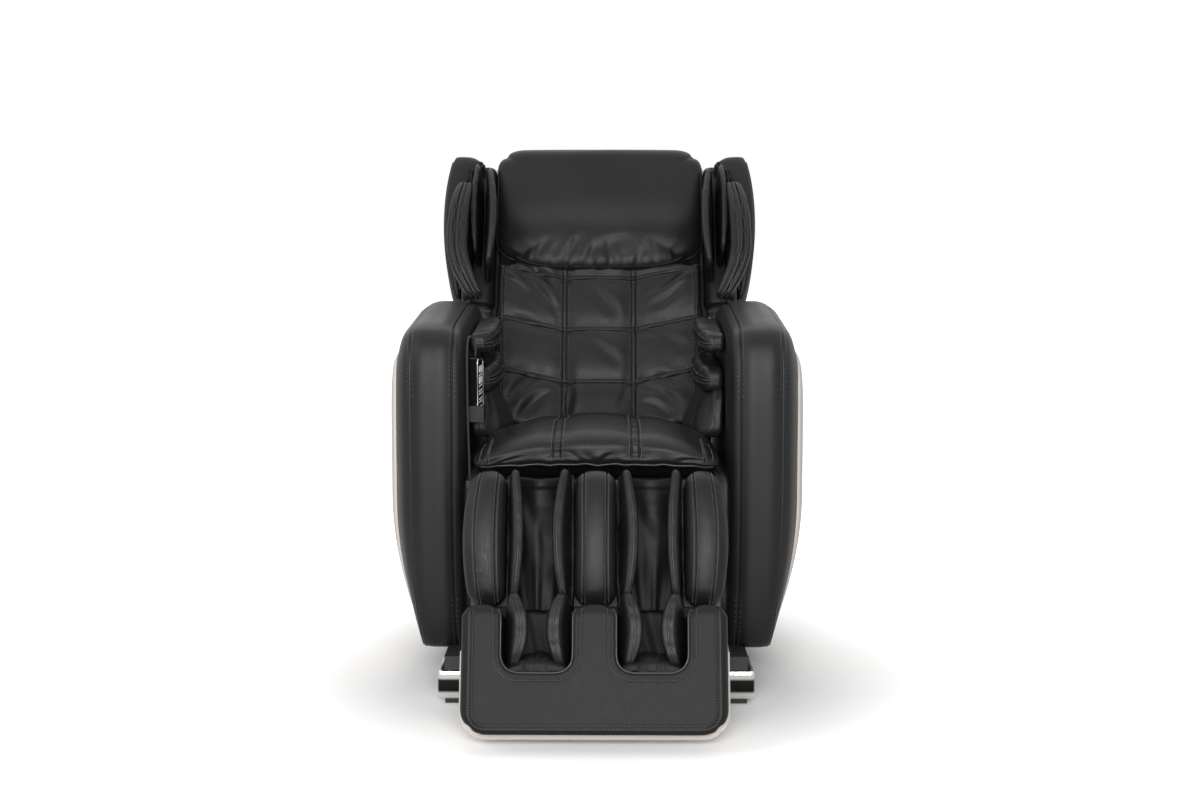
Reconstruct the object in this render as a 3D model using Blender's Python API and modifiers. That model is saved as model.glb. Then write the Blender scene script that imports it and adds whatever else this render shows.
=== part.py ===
"""Massage chair: a reclining body massage chair with a leg rest, as an assembly of separate pieces.

Metres, +Z up. The chair faces -Y and +X is on the viewer's right. The origin lies on the floor, under the
middle of the chair's outline. Each moving piece hangs from an empty that stands on its joint's axis.
"""

import math

import bmesh
import bpy
from mathutils import Vector

# ---------------------------------------------------------------- driving dimensions

GAP = 0.0004  # left between two pieces that touch
RUN = 0.0006  # left round a shaft or a slider that moves
STEP = 0.002  # the faces of welded members are staggered by this much, and members run this deep into another

# widths, along X
SEAT_WIDTH = 0.500
ARM_CLEARANCE = 0.018  # from the seat's side to the arm's inner wall
ARM_WIDTH = 0.1085  # from the inner wall to the outer seam
SIDE_BULGE = 0.0645  # how far the outer side stands out past that seam
SEAM_INSET = 0.023  # from the inner wall to the inner seam
BACK_INSET = 0.011  # on each side, by which the back is narrower than the seat
PILLOW_INSET = 0.005
LEG_INSET = 0.0025
CENTRE_LOBE = 0.080  # the middle pillow between the two calves
SIDE_LOBE = 0.0745  # the pillow on each calf's outer side

# base frame
GLIDE_HEIGHT = 0.012
GLIDE_INSET = 0.014
FOOT_HEIGHT = 0.070
FOOT_LENGTH = 0.135
FOOT_OVERHANG = 0.0137  # how far the bright front foot stands out past its rail
RAIL_HEIGHT = 0.028
RAIL_WIDTH = 0.0365
TUBE = 0.034  # the uprights and the cross tubes
FRAME_INSET = 0.005  # from the seat's side to the uprights
FRAME_FRONT = -0.385
FRAME_REAR = 0.430
FRONT_UPRIGHT_Y = -0.215
DECK_FRONT = -0.280
DECK_REAR = 0.155
DECK_TOP = 0.4396
DECK_THICKNESS = 0.020
REAR_FOOT_LENGTH = 0.080
LEG_EAR_X = 0.200  # inner face of the ears that carry the leg rest's shaft
LEG_EAR_WIDTH = 0.012
LEG_EAR_REACH = 0.015  # of each ear, round the shaft
AXLE_RADIUS = 0.006
AXLE_TAB = 0.010
WHEEL_RADIUS = 0.030
WHEEL_WIDTH = 0.022
WHEEL_SETBACK = 0.038  # of the axle, behind the frame
WHEEL_LIFT = 0.004  # clear of the floor until the chair is tipped back

# arm
ARM_FRONT = -0.320
ARM_REAR = 0.365
ARM_RISE = 0.218  # from the seat's crest to the arm's highest point
ARM_WALL = 0.030
SIDE_PANEL = 0.004

# air pads on the arm's inner wall
UPPER_PAD_IN = 0.212  # how near to the chair's middle each pad comes
UPPER_PAD_Y = (-0.170, 0.105)
UPPER_PAD_DROP = (0.078, 0.038)  # from the arm's highest point to each pad's underside and top
LOWER_PAD_IN = 0.208
LOWER_PAD_Y = (-0.160, 0.105)
LOWER_PAD_DROP = (0.164, 0.110)
HIP_PAD_IN = 0.176
HIP_PAD_Y = (-0.170, 0.110)
HIP_PAD_RISE = (-0.0455, 0.048)  # from the seat's crest
PAD_RISE = 0.06  # slope of the forearm pads, which follow the arm's top

# seat cushion
SEAT_FRONT = -0.360
SEAT_BACK = 0.176
SEAT_THICKNESS = 0.118
SEAT_ROLL = 0.100  # depth of the rolled front edge
SEAT_SEAM = 0.079  # from the middle to each sewn channel
CHANNEL = 0.022  # from a sewn channel to where the cushion is full again

# backrest, in its own frame: z along its length from the pivot, and y square to it, away from the sitter
RECLINE_REST = 25.0  # degrees back from upright
PIVOT_Y = 0.185
PIVOT_Z = 0.380
SHAFT_RADIUS = 0.010
SLEEVE_WALL = 0.008
BACK_LENGTH = 0.800
BACK_START = 0.104
BACK_FRONT = -0.044
BACK_REAR = 0.020
BACK_SEAM = 0.081
BACK_ROW = 0.130
BACK_FIRST_ROW = 0.211
PILLOW_LENGTH = 0.305
PILLOW_TOP = 0.812
PILLOW_THICKNESS = 0.058
LEDGE_FRONT = -0.006  # the thinner cushion behind the pillow
SHELL_DEPTH = 0.234
SHELL_WALL = 0.006
SHELL_MARGIN = 0.006  # from the shell's side to the arm's inner wall
SHELL_START = 0.030  # the shell's front edge
BACK_RAIL_X = 0.170  # inner face of the back frame's rails
BACK_RAIL_WIDTH = 0.025
BACK_RAIL_DEPTH = 0.062

# wings beside the shoulders
WING_BOTTOM = 0.412
WING_TOP = 0.765
WING_CLEARANCE = 0.0055  # from the pillow's side to the wing
WING_REACH = 0.110  # from the root outwards
WING_FRONT = -0.100
WING_REAR = 0.120
ROOT_FRONT = -0.030
INNER_PAD = 0.0225
MIDDLE_PAD = 0.0180
OUTER_PAD = 0.0270
PAD_LAP = 0.0240  # how far the outer pad laps over the wing's front edge
PAD_PROUD = 0.0720
PAD_TUCK = 0.0050  # how far its inner part is drawn in beside the wing
PAD_GAP = 0.0030

# massage mechanism
CARRIAGE_HEIGHT = 0.080
CARRIAGE_START = 0.150
CARRIAGE_PLATE = 0.018
HEAD_X = 0.062
HEAD_PEG = 0.008
HEAD_WIDTH = 0.034
HEAD_REACH = 0.042
HEAD_SETBACK = 0.006  # from the cushion's rear to the kneading heads
HEAD_DEPTH = 0.034

# leg rest, in its own frame: z along it from the hinge, and y square to it, away from the sitter
LEG_TILT = 20.0  # degrees that its lower end stands forward
LEG_Y = -0.370
LEG_Z = 0.440
LEG_SHAFT_RADIUS = 0.007
CALF_TOP = 0.016
CALF_LENGTH = 0.260
CALF_DEPTH = 0.114  # from the hinge to the front of the pillows
CALF_PLATE = 0.0135
CALF_PLATE_BACK = -0.004
FLAP_WIDTH = 0.026  # the leaf-shaped air pads beside each calf
GUIDE_X = 0.150  # the rods that the foot section slides on
GUIDE_Y = 0.012
GUIDE_RADIUS = 0.008
FOOT_GAP = 0.010  # between the calf and the foot section
FOOT_DEPTH = 0.190
FOOT_REAR = -0.010
FOOT_FLOOR = 0.034
BAY_WALL = 0.030
WELL_DEPTH = 0.128
WELL_HEEL = -0.040
LEG_SHELL_WALL = 0.005
LEG_SHELL_BACK = 0.034
SOLE = 0.010
FOOT_PAD_WIDTH = 0.022
ROLLER_Y = -0.095
ROLLER_DROP = 0.029  # of the sole roller's axis, below the sole
ROLLER_RADIUS = 0.022

# screw actuators: (y, z) of the pivot on the base, and (y, z) of the lug in the frame of what they move
EAR_GAP = 0.0105
EAR_WALL = 0.005
EYE_RADIUS = 0.005
ACTUATOR_HALF = 0.019
ACTUATOR_ROD = 0.0095
BACK_ACTUATOR_X = -0.060
BACK_ANCHOR = (-0.150, 0.190)
BACK_LUG = (0.082, -0.105)
BACK_ROD_OUT = 0.128  # bare length of the rod at rest
BACK_ROD_IN = 0.074  # length of it inside the housing
LEG_ACTUATOR_X = 0.060
LEG_ANCHOR = (0.060, 0.190)
LEG_LUG = (0.040, -0.100)
LEG_ROD_OUT = 0.030
LEG_ROD_IN = 0.180

# control box, air pump, power switch
ELECTRICS_DEPTH = 0.123
CONTROL_BOX_HEIGHT = 0.070
CONTROL_BOX_X = 0.075
PUMP_HEIGHT = 0.090
PUMP_X = 0.095
SWITCH_X = 0.110
SWITCH_HEIGHT = 0.036
SWITCH_HALF = (0.0102, 0.0066)
SWITCH_TILT = 8.0

# hand control
REMOTE_THICKNESS = 0.020
REMOTE_WIDTH = 0.042
REMOTE_LENGTH = 0.128
REMOTE_TURN = 12.0
REMOTE_Y = -0.222
REMOTE_CLEARANCE = 0.0  # of the hand control's foot, above the seat's crest
HOLDER_WALL = 0.003
HOLDER_HEIGHT = 0.030
KEYS = (("power_key", 0.104), ("program_key", 0.082))  # and how far up the hand control
KEY_HALF = (0.009, 0.006)
KEY_PROUD = 0.0012
KEY_SUNK = 0.0018
CABLE_RADIUS = 0.0024
CABLE_ROUTE = [  # from the hand control's top, over in a loop, and down the arm's inner front to the frame
    (-0.2500, -0.2220, 0.6866), (-0.2500, -0.2225, 0.7000), (-0.2515, -0.2250, 0.7150),
    (-0.2560, -0.2320, 0.7270), (-0.2605, -0.2440, 0.7300), (-0.2630, -0.2560, 0.7210),
    (-0.2640, -0.2640, 0.7040), (-0.2640, -0.2680, 0.6800), (-0.2640, -0.2700, 0.6500),
    (-0.2635, -0.2710, 0.6100), (-0.2630, -0.2715, 0.5700), (-0.2620, -0.2720, 0.5300),
    (-0.2610, -0.2740, 0.5000), (-0.2600, -0.2780, 0.4740), (-0.2590, -0.2830, 0.4500),
    (-0.2590, -0.2850, 0.4400),
]

# ---------------------------------------------------------------- worked out from them

SEAT_CREST = DECK_TOP + GAP + SEAT_THICKNESS
ARM_APEX = SEAT_CREST + ARM_RISE
UPPER_PAD_Z = (ARM_APEX - UPPER_PAD_DROP[0], ARM_APEX - UPPER_PAD_DROP[1])
LOWER_PAD_Z = (ARM_APEX - LOWER_PAD_DROP[0], ARM_APEX - LOWER_PAD_DROP[1])
HIP_PAD_Z = (SEAT_CREST + HIP_PAD_RISE[0], SEAT_CREST + HIP_PAD_RISE[1])
REMOTE_Z = SEAT_CREST + REMOTE_CLEARANCE
ARM_INNER = SEAT_WIDTH / 2 + ARM_CLEARANCE
ARM_SEAM = ARM_INNER + ARM_WIDTH
RAIL_BOTTOM = FOOT_HEIGHT + GAP
RAIL_TOP = RAIL_BOTTOM + RAIL_HEIGHT
ARM_BOTTOM = RAIL_TOP + GAP
DECK_BOTTOM = DECK_TOP - DECK_THICKNESS
FRAME_HALF = SEAT_WIDTH / 2 - FRAME_INSET
LEG_EAR = (LEG_EAR_X, LEG_EAR_X + LEG_EAR_WIDTH)
REAR_TUBE_Y = (FRAME_REAR - 0.040 - TUBE, FRAME_REAR - 0.040)
WHEEL_X = ARM_INNER + AXLE_TAB + RUN
WHEEL_Y = FRAME_REAR + WHEEL_SETBACK
WHEEL_Z = WHEEL_RADIUS + WHEEL_LIFT
BACK_HALF = SEAT_WIDTH / 2 - BACK_INSET
PILLOW_HALF = SEAT_WIDTH / 2 - PILLOW_INSET
SHELL_HALF = ARM_INNER - SHELL_MARGIN
WING_ROOT_X = PILLOW_HALF + WING_CLEARANCE
BACK_RAIL_Y = (BACK_REAR + GAP, BACK_REAR + GAP + BACK_RAIL_DEPTH)
LEDGE = PILLOW_TOP - PILLOW_LENGTH  # the back cushion is thinner above this line, behind the pillow
HEAD_FRONT = BACK_REAR + HEAD_SETBACK
HEAD_REAR = HEAD_FRONT + HEAD_DEPTH
LEG_HALF = SEAT_WIDTH / 2 - LEG_INSET
TROUGH_IN = CENTRE_LOBE / 2
TROUGH_OUT = LEG_HALF - SIDE_LOBE
CALF_BOTTOM = CALF_TOP - CALF_LENGTH
CALF_PLATE_Y = (CALF_PLATE_BACK - CALF_PLATE, CALF_PLATE_BACK)
FOOT_TOP = CALF_BOTTOM - FOOT_GAP
WELL_FLOOR = FOOT_TOP - WELL_DEPTH
BAY_TOP = WELL_FLOOR - SOLE

FINISHES = {  # colour, roughness, metallic
    "black_leather": ((0.030, 0.030, 0.031), 0.42, 0.0),
    "greige_shell": ((0.600, 0.545, 0.500), 0.45, 0.0),
    "chrome": ((0.800, 0.790, 0.770), 0.08, 1.0),
    "black_steel": ((0.025, 0.025, 0.026), 0.40, 0.0),
    "black_plastic": ((0.020, 0.020, 0.021), 0.50, 0.0),
    "gloss_black": ((0.012, 0.012, 0.013), 0.12, 0.0),
    "bare_steel": ((0.550, 0.550, 0.560), 0.30, 1.0),
    "rubber": ((0.015, 0.015, 0.015), 0.80, 0.0),
    "key_white": ((0.700, 0.700, 0.690), 0.40, 0.0),
}
SIDES = (("left", -1), ("right", 1))

# ---------------------------------------------------------------- scene and helpers

for old in list(bpy.data.objects):
    bpy.data.objects.remove(old, do_unlink=True)

parts = bpy.data.collections.new("massage_chair")
cutters = bpy.data.collections.new("cutters")
bpy.context.scene.collection.children.link(parts)
bpy.context.scene.collection.children.link(cutters)


def finish_of(name, finish):
    colour, roughness, metallic = FINISHES[finish]
    material = bpy.data.materials.new(f"{name}_{finish}")
    material.use_nodes = True
    shader = material.node_tree.nodes["Principled BSDF"]
    shader.inputs["Base Color"].default_value = (*colour, 1.0)
    shader.inputs["Roughness"].default_value = roughness
    shader.inputs["Metallic"].default_value = metallic
    material.diffuse_color = (*colour, 1.0)
    return material


def add_part(name, mesh, finish, parent=None):
    obj = bpy.data.objects.new(name, mesh)
    mesh.materials.clear()
    mesh.materials.append(finish_of(name, finish))
    parts.objects.link(obj)
    obj.parent = parent
    return obj


def add_cutter(name, mesh, parent=None):
    obj = bpy.data.objects.new(name, mesh)
    cutters.objects.link(obj)
    obj.parent = parent
    obj.hide_render = True
    obj.display_type = "WIRE"
    return obj


def add_empty(name, location, tilt=0.0, parent=None):
    empty = bpy.data.objects.new(name, None)
    parts.objects.link(empty)
    empty.location = location
    empty.rotation_euler.x = math.radians(tilt)
    empty.parent = parent
    return empty


def spread(low, high, cells):
    return [low + (high - low) * k / cells for k in range(cells + 1)]


def inset(pair, by):
    """A range drawn in by the same length at both ends."""
    return pair[0] + by, pair[1] - by


def around(middle, half):
    return middle - half, middle + half


def mirrored(sign, pair):
    """A range of x on the right side, taken to the side of the given sign."""
    return tuple(sorted((sign * pair[0], sign * pair[1])))


def finish_mesh(bm, name):
    bm.normal_update()
    bmesh.ops.recalc_face_normals(bm, faces=bm.faces[:])
    mesh = bpy.data.meshes.new(name)
    bm.to_mesh(mesh)
    bm.free()
    return mesh


def block(name, xs, ys, zs, shape=None):
    """A closed box with a line of points at each value of xs, ys and zs, which shape(x, y, z) then moves."""
    bm = bmesh.new()
    bmesh.ops.create_cube(bm, size=1.0)
    lines = (xs, ys, zs)
    for vert in bm.verts:
        vert.co = [at[-1] if side > 0 else at[0] for side, at in zip(vert.co, lines)]
    for axis in range(3):
        normal = Vector([float(axis == k) for k in range(3)])
        for at in lines[axis][1:-1]:
            geometry = bm.verts[:] + bm.edges[:] + bm.faces[:]
            bmesh.ops.bisect_plane(bm, geom=geometry, dist=1e-6, plane_co=normal * at, plane_no=normal)
    if shape:
        for vert in bm.verts:
            vert.co = shape(*vert.co)
    return finish_mesh(bm, name)


def box(name, x, y, z):
    """A plain box between two values on each axis."""
    return block(name, sorted(x), sorted(y), sorted(z))


def cylinder(name, radius, start, end, sides=16):
    """A cylinder between two points."""
    bm = bmesh.new()
    start, end = Vector(start), Vector(end)
    bmesh.ops.create_cone(
        bm, cap_ends=True, segments=sides, radius1=radius, radius2=radius, depth=(end - start).length
    )
    turn = Vector((0, 0, 1)).rotation_difference(end - start).to_matrix()
    for vert in bm.verts:
        vert.co = turn @ vert.co + (start + end) / 2
    return finish_mesh(bm, name)


def rod(name, radius, x, y=0.0, z=0.0, sides=20):
    """A cylinder along X, from x[0] to x[1]."""
    return cylinder(name, radius, (x[0], y, z), (x[1], y, z), sides)


def combine(target, operation, meshes):
    for mesh in meshes:
        other = add_cutter(f"{target.name}_{mesh.name}", mesh, target.parent)
        boolean = target.modifiers.new(mesh.name, "BOOLEAN")
        boolean.operation = operation
        boolean.object = other


def join(target, *meshes):
    combine(target, "UNION", meshes)


def cut(target, *meshes):
    combine(target, "DIFFERENCE", meshes)


def soften(obj, seat=None):
    """One level of subdivision. The face in the plane seat, given as (axis, value), stays flat and whole."""
    if seat:
        axis, value = seat
        bm = bmesh.new()
        bm.from_mesh(obj.data)
        crease = bm.edges.layers.float.new("crease_edge")
        for edge in bm.edges:
            if all(abs(vert.co[axis] - value) < 1e-5 for vert in edge.verts):
                edge[crease] = 1.0
        bm.to_mesh(obj.data)
        bm.free()
    smooth = obj.modifiers.new("soft", "SUBSURF")
    smooth.levels = 1
    smooth.render_levels = 1


def round_edges(obj, width, segments=2):
    bevel = obj.modifiers.new("rounded", "BEVEL")
    bevel.width = width
    bevel.segments = segments


def loft(name, rings):
    """A closed solid through rings of the same number of points, with a flat face over each end."""
    bm = bmesh.new()
    rows = [[bm.verts.new(point) for point in ring] for ring in rings]
    for row, following in zip(rows, rows[1:]):
        for k in range(len(row)):
            bm.faces.new((row[k], row[k - 1], following[k - 1], following[k]))
    bm.faces.new(rows[0])
    bm.faces.new(rows[-1])
    return finish_mesh(bm, name)


def open_sides(mesh, *planes):
    """Takes away the faces that lie in each plane, given as (axis, value), which opens a box there."""
    bm = bmesh.new()
    bm.from_mesh(mesh)
    for axis, value in planes:
        flat = [face for face in bm.faces if all(abs(v.co[axis] - value) < 1e-5 for v in face.verts)]
        bmesh.ops.delete(bm, geom=flat, context="FACES")
    bm.to_mesh(mesh)
    bm.free()


def bump(t):
    """1 in the middle of -1..1 and 0 at its ends."""
    return max(0.0, 1.0 - t * t)


def channel(at, seams, depth):
    """How far a sewn channel draws the surface in: all of depth on a seam and nothing beside it."""
    return depth if any(abs(at - seam) < 0.004 for seam in seams) else 0.0


def leaf(name, x, y, z, finish, parent, seat, taper=0.35, bulge=0.0):
    """A slim air pad, narrower at its top and bottom. seat is its flat fixed face: "rear" or a side's x."""
    middle_x, middle_z, half_z = sum(x) / 2, sum(z) / 2, (z[1] - z[0]) / 2
    held = middle_x if seat == "rear" else seat

    def shape(px, py, pz):
        up = (pz - middle_z) / half_z
        if py < y[1] - 1e-4:
            py = y[1] - (y[1] - py) * (1.0 - 0.45 * taper * abs(up) ** 3)
        out = (2 * py - y[0] - y[1]) / (y[1] - y[0])
        px = held + (px - held) * (1.0 - taper * abs(up) ** 3)
        if abs(px - held) > 1e-5 or seat == "rear":
            px += bulge * bump(out) * bump(up)
        return px, py, pz

    pad = add_part(name, block(name, x, spread(*y, 2), spread(*z, 3), shape), finish, parent)
    soften(pad, (1, y[1]) if seat == "rear" else (0, seat))
    return pad


# ---------------------------------------------------------------- base frame


def build_base():
    """Welded: rails, uprights, seat deck, ears for the leg rest, axles, rear feet and actuator brackets."""
    rail_x = (ARM_INNER, ARM_INNER + RAIL_WIDTH)
    rail_z = (RAIL_BOTTOM, RAIL_TOP)
    post_x = (FRAME_HALF - TUBE, FRAME_HALF)
    post_bottom = RAIL_BOTTOM + 3 * STEP
    tube_x = (-rail_x[0] - 5 * STEP, rail_x[0] + 5 * STEP)
    front_y = around(FRONT_UPRIGHT_Y, TUBE / 2)
    frame = add_part("base_frame", box("front_tube", tube_x, front_y, inset(rail_z, STEP)), "black_steel")
    join(frame, box("rear_tube", tube_x, REAR_TUBE_Y, inset(rail_z, STEP)))
    for side, sign in SIDES:
        rail, post = mirrored(sign, rail_x), mirrored(sign, post_x)
        ear, web = mirrored(sign, LEG_EAR), mirrored(sign, inset(LEG_EAR, STEP / 2))
        join(
            frame,
            box(f"{side}_rail", rail, (FRAME_FRONT, FRAME_REAR), rail_z),
            box(f"{side}_inner_rail", post, (FRONT_UPRIGHT_Y, REAR_TUBE_Y[0] + 5 * STEP),
                inset(rail_z, 2 * STEP)),
            box(f"{side}_front_upright", post, inset(front_y, STEP), (post_bottom, DECK_BOTTOM + STEP)),
            box(f"{side}_rear_upright", post, around(PIVOT_Y, 0.7 * TUBE), (post_bottom, PIVOT_Z + TUBE)),
            box(f"{side}_leg_ear", ear, (LEG_Y - LEG_EAR_REACH, DECK_FRONT - 0.020),
                around(LEG_Z, LEG_EAR_REACH)),
            box(f"{side}_ear_web", web, (DECK_FRONT - 0.026, DECK_FRONT + 0.029),
                inset((DECK_BOTTOM, DECK_TOP), 2 * STEP)),
        )
    deck_x = around(0.0, FRAME_HALF + 1.5 * STEP)
    join(frame, box("deck", deck_x, (DECK_FRONT, DECK_REAR), (DECK_BOTTOM, DECK_TOP)))
    cable_end = CABLE_ROUTE[-1]
    join(frame, box("cable_tab", (cable_end[0] - 0.006, deck_x[0] + STEP),
                    (cable_end[1] - 0.006, max(cable_end[1] + 0.006, DECK_FRONT + 0.010)),
                    (DECK_BOTTOM + 2 * STEP, cable_end[2] - GAP)))
    for side, sign in SIDES:
        tab = mirrored(sign, (rail_x[0] + STEP, rail_x[0] + AXLE_TAB))
        wheel_end = WHEEL_X + WHEEL_WIDTH + RUN
        join(
            frame,
            box(f"{side}_wheel_tab", tab, around(WHEEL_Y, 2 * AXLE_RADIUS),
                (WHEEL_Z - 2 * AXLE_RADIUS, RAIL_TOP - 2 * STEP)),
            box(f"{side}_tab_reach", tab, (FRAME_REAR - 0.020, WHEEL_Y + 1.8 * AXLE_RADIUS),
                inset(rail_z, 1.5 * STEP)),
            rod(f"{side}_axle", AXLE_RADIUS, (sign * (rail_x[0] + 3 * STEP), sign * (wheel_end + STEP)),
                WHEEL_Y, WHEEL_Z, 16),
            rod(f"{side}_axle_head", 1.6 * AXLE_RADIUS, (sign * wheel_end, sign * (wheel_end + 2 * STEP)),
                WHEEL_Y, WHEEL_Z, 16),
            box(f"{side}_rear_foot", mirrored(sign, inset(rail_x, STEP / 2)),
                (FRAME_REAR - 0.010 - REAR_FOOT_LENGTH, FRAME_REAR - 0.010), (0.0, RAIL_BOTTOM + 3 * STEP)),
        )
    for name, x, (y, z) in (("back", BACK_ACTUATOR_X, BACK_ANCHOR), ("leg", LEG_ACTUATOR_X, LEG_ANCHOR)):
        beam_z = (RAIL_TOP - 7 * STEP, RAIL_TOP + STEP)
        join(
            frame,
            box(f"{name}_beam", around(0.0, FRAME_HALF - 5 * STEP), around(y, 3 * EYE_RADIUS), beam_z),
            rod(f"{name}_pin", EYE_RADIUS, around(x, EAR_GAP + EAR_WALL / 2), y, z, 12),
        )
        for side, sign in SIDES:
            ear = (x + sign * EAR_GAP, x + sign * (EAR_GAP + EAR_WALL))
            ear_z = (beam_z[1] - 3 * STEP, z + 2.4 * EYE_RADIUS)
            join(frame, box(f"{name}_{side}_ear", ear, around(y, 2.4 * EYE_RADIUS), ear_z))
    cut(
        frame,
        rod("recline_bore", SHAFT_RADIUS + GAP, around(0.0, FRAME_HALF + 0.01), PIVOT_Y, PIVOT_Z),
        rod("leg_bore", LEG_SHAFT_RADIUS + GAP, around(0.0, LEG_EAR[1] + 0.01), LEG_Y, LEG_Z),
    )
    shaft = rod("recline_shaft", SHAFT_RADIUS, around(0.0, FRAME_HALF), PIVOT_Y, PIVOT_Z)
    add_part("recline_shaft", shaft, "bare_steel")
    shaft = rod("leg_shaft", LEG_SHAFT_RADIUS, around(0.0, LEG_EAR[1]), LEG_Y, LEG_Z)
    add_part("leg_shaft", shaft, "bare_steel")


def build_feet():
    """Front feet: a bright bevelled casing round the rail's end, on a dark glide."""
    middle = ARM_INNER + RAIL_WIDTH / 2
    half = RAIL_WIDTH / 2 + FOOT_OVERHANG
    y = (FRAME_FRONT - 0.005, FRAME_FRONT - 0.005 + FOOT_LENGTH)
    for side, sign in SIDES:
        casing = box("foot", mirrored(sign, around(middle, half)), y, (GLIDE_HEIGHT, FOOT_HEIGHT))
        foot = add_part(f"front_foot_{side}", casing, "chrome")
        round_edges(foot, 0.007)
        glide_x = mirrored(sign, around(middle, half - GLIDE_INSET))
        join(foot, box("glide", glide_x, inset(y, GLIDE_INSET), (0.0, GLIDE_HEIGHT + STEP)))


def build_wheel(side, sign):
    """A turned transport wheel on its axle stub, just clear of the floor."""
    bore = AXLE_RADIUS + RUN
    half = WHEEL_WIDTH / 2
    shoulder = 0.003
    profile = [
        (WHEEL_RADIUS - shoulder, half), (WHEEL_RADIUS, half - 1.6 * shoulder),
        (WHEEL_RADIUS, 1.6 * shoulder - half), (WHEEL_RADIUS - shoulder, -half), (bore, -half), (bore, half),
    ]
    mesh = bpy.data.meshes.new("wheel")
    edges = [(k, (k + 1) % len(profile)) for k in range(len(profile))]
    mesh.from_pydata([(radius, 0.0, along) for radius, along in profile], edges, [])
    wheel = add_part(f"rear_wheel_{side}", mesh, "rubber")
    turn = wheel.modifiers.new("turned", "SCREW")
    turn.steps = 24
    turn.render_steps = 24
    turn.use_merge_vertices = True
    turn.merge_threshold = 0.00001
    wheel.rotation_euler.y = math.radians(90)
    wheel.location = (sign * (WHEEL_X + half), WHEEL_Y, WHEEL_Z)


# ---------------------------------------------------------------- arms

ARM_OUTLINE = [  # side view: share of the arm's length from its front, and share of its height
    (0.020, 0.035), (0.004, 0.150), (0.000, 0.330), (0.000, 0.560), (0.003, 0.760), (0.014, 0.870),
    (0.042, 0.932), (0.100, 0.962), (0.260, 0.976), (0.450, 0.990), (0.620, 1.000), (0.800, 0.985),
    (0.905, 0.915), (0.960, 0.800), (0.988, 0.640), (1.000, 0.450), (0.988, 0.270), (0.950, 0.120),
    (0.880, 0.030), (0.760, 0.000), (0.560, 0.000), (0.360, 0.000), (0.180, 0.000), (0.070, 0.000),
]
ARM_TUCK = 0.300  # below this height the outer side draws in towards the frame
ARM_TUCK_IN = 0.021


def arm_ring(x, front, top, sign, rear=0.0, lift=0.0, push=0.0):
    """The arm's side outline at x. Shares of the arm's width draw it in at its front, top, rear and bottom."""
    points = []
    front, top, rear, lift = (share * ARM_WIDTH for share in (front, top, rear, lift))
    length, height = ARM_REAR - ARM_FRONT, ARM_APEX - ARM_BOTTOM
    for along, up in ARM_OUTLINE:
        y = ARM_FRONT + front + (length - front - rear) * along
        z = ARM_BOTTOM + lift + (height - top - lift) * up
        low = max(0.0, 1.0 - (z - ARM_BOTTOM) / ARM_TUCK)
        seam_x = ARM_SEAM - ARM_TUCK_IN * low ** 2
        if x > ARM_SEAM:
            at = seam_x + (x - ARM_SEAM) * (1.0 - 0.88 * low ** 2)
        else:
            at = ARM_INNER + (x - ARM_INNER) * (seam_x - ARM_INNER) / (ARM_SEAM - ARM_INNER)
        points.append((sign * (at + push), y, z))
    return points


def build_arm(side, sign):
    """The padded arm, and the pale shell that closes its outer side."""
    inner_seam = ARM_INNER + SEAM_INSET
    edge = ARM_SEAM + 0.60 * SIDE_BULGE
    rings = [
        arm_ring(ARM_INNER, 0.415, 0.276, sign, 0.203),
        arm_ring(ARM_INNER + 0.2 * SEAM_INSET, 0.240, 0.166, sign, 0.111),
        arm_ring(inner_seam, 0.074, 0.046, sign),
        arm_ring((inner_seam + ARM_SEAM) / 2, 0.0, 0.0, sign),
        arm_ring(ARM_SEAM, 0.092, 0.055, sign),
        arm_ring(ARM_SEAM + 0.40 * SIDE_BULGE, 0.415, 0.295, sign, 0.092),
        arm_ring(edge, 0.876, 0.645, sign, 0.276),
        arm_ring(edge, 1.382, 1.152, sign, 0.664, 0.369, -STEP),
    ]
    arm = add_part(f"arm_{side}", loft("arm", rings), "black_leather")
    # the hollow is closed by the side shell
    hollow = [
        arm_ring(ARM_INNER + ARM_WALL, 1.382, 0.829, sign, 0.553, 0.323),
        arm_ring(edge + ARM_WALL, 1.290, 1.060, sign, 0.608, 0.323),
    ]
    cut(arm, loft("hollow", hollow))
    bulge = ARM_SEAM + SIDE_BULGE
    crown = ARM_SEAM + 0.86 * SIDE_BULGE
    dish = [
        arm_ring(bulge, 2.396, 2.488, sign, 1.751, 1.014, -SIDE_PANEL),
        arm_ring(crown, 1.429, 1.244, sign, 0.774, 0.415, -SIDE_PANEL),
        arm_ring(edge, 1.161, 0.922, sign, 0.516, 0.221, 2 * GAP),
        arm_ring(edge, 0.876, 0.645, sign, 0.276, 0.0, GAP),
        arm_ring(edge, 0.922, 0.691, sign, 0.304, 0.037, GAP + 1.4 * SIDE_PANEL),
        arm_ring(crown, 1.382, 1.198, sign, 0.737, 0.369, GAP),
        arm_ring(bulge, 2.396, 2.488, sign, 1.751, 1.014),
    ]
    add_part(f"side_shell_{side}", loft("side_shell", dish), "greige_shell")


def arm_pad(name, side, sign, reach_in, y, z, crown):
    """A forearm air pad on the arm's inner wall: its free edge is crowned, and it rises with the arm."""
    wall = ARM_INNER - GAP
    middle_y, middle_z = sum(y) / 2, sum(z) / 2

    def shape(px, py, pz):
        out = (wall - px) / (wall - reach_in)
        along = (py - middle_y) / (y[1] - middle_y)
        reach = wall - (wall - px) * (1.0 - 0.35 * abs(along) ** 3)
        lift = crown * bump(along) * out * (1.0 if pz > middle_z else -0.2)
        return sign * reach, py, pz + lift + PAD_RISE * (py - middle_y)

    mesh = block(name, (reach_in, (reach_in + wall) / 2, wall), spread(*y, 3), z, shape)
    soften(add_part(f"{name}_{side}", mesh, "black_leather"), (0, sign * wall))


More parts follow.
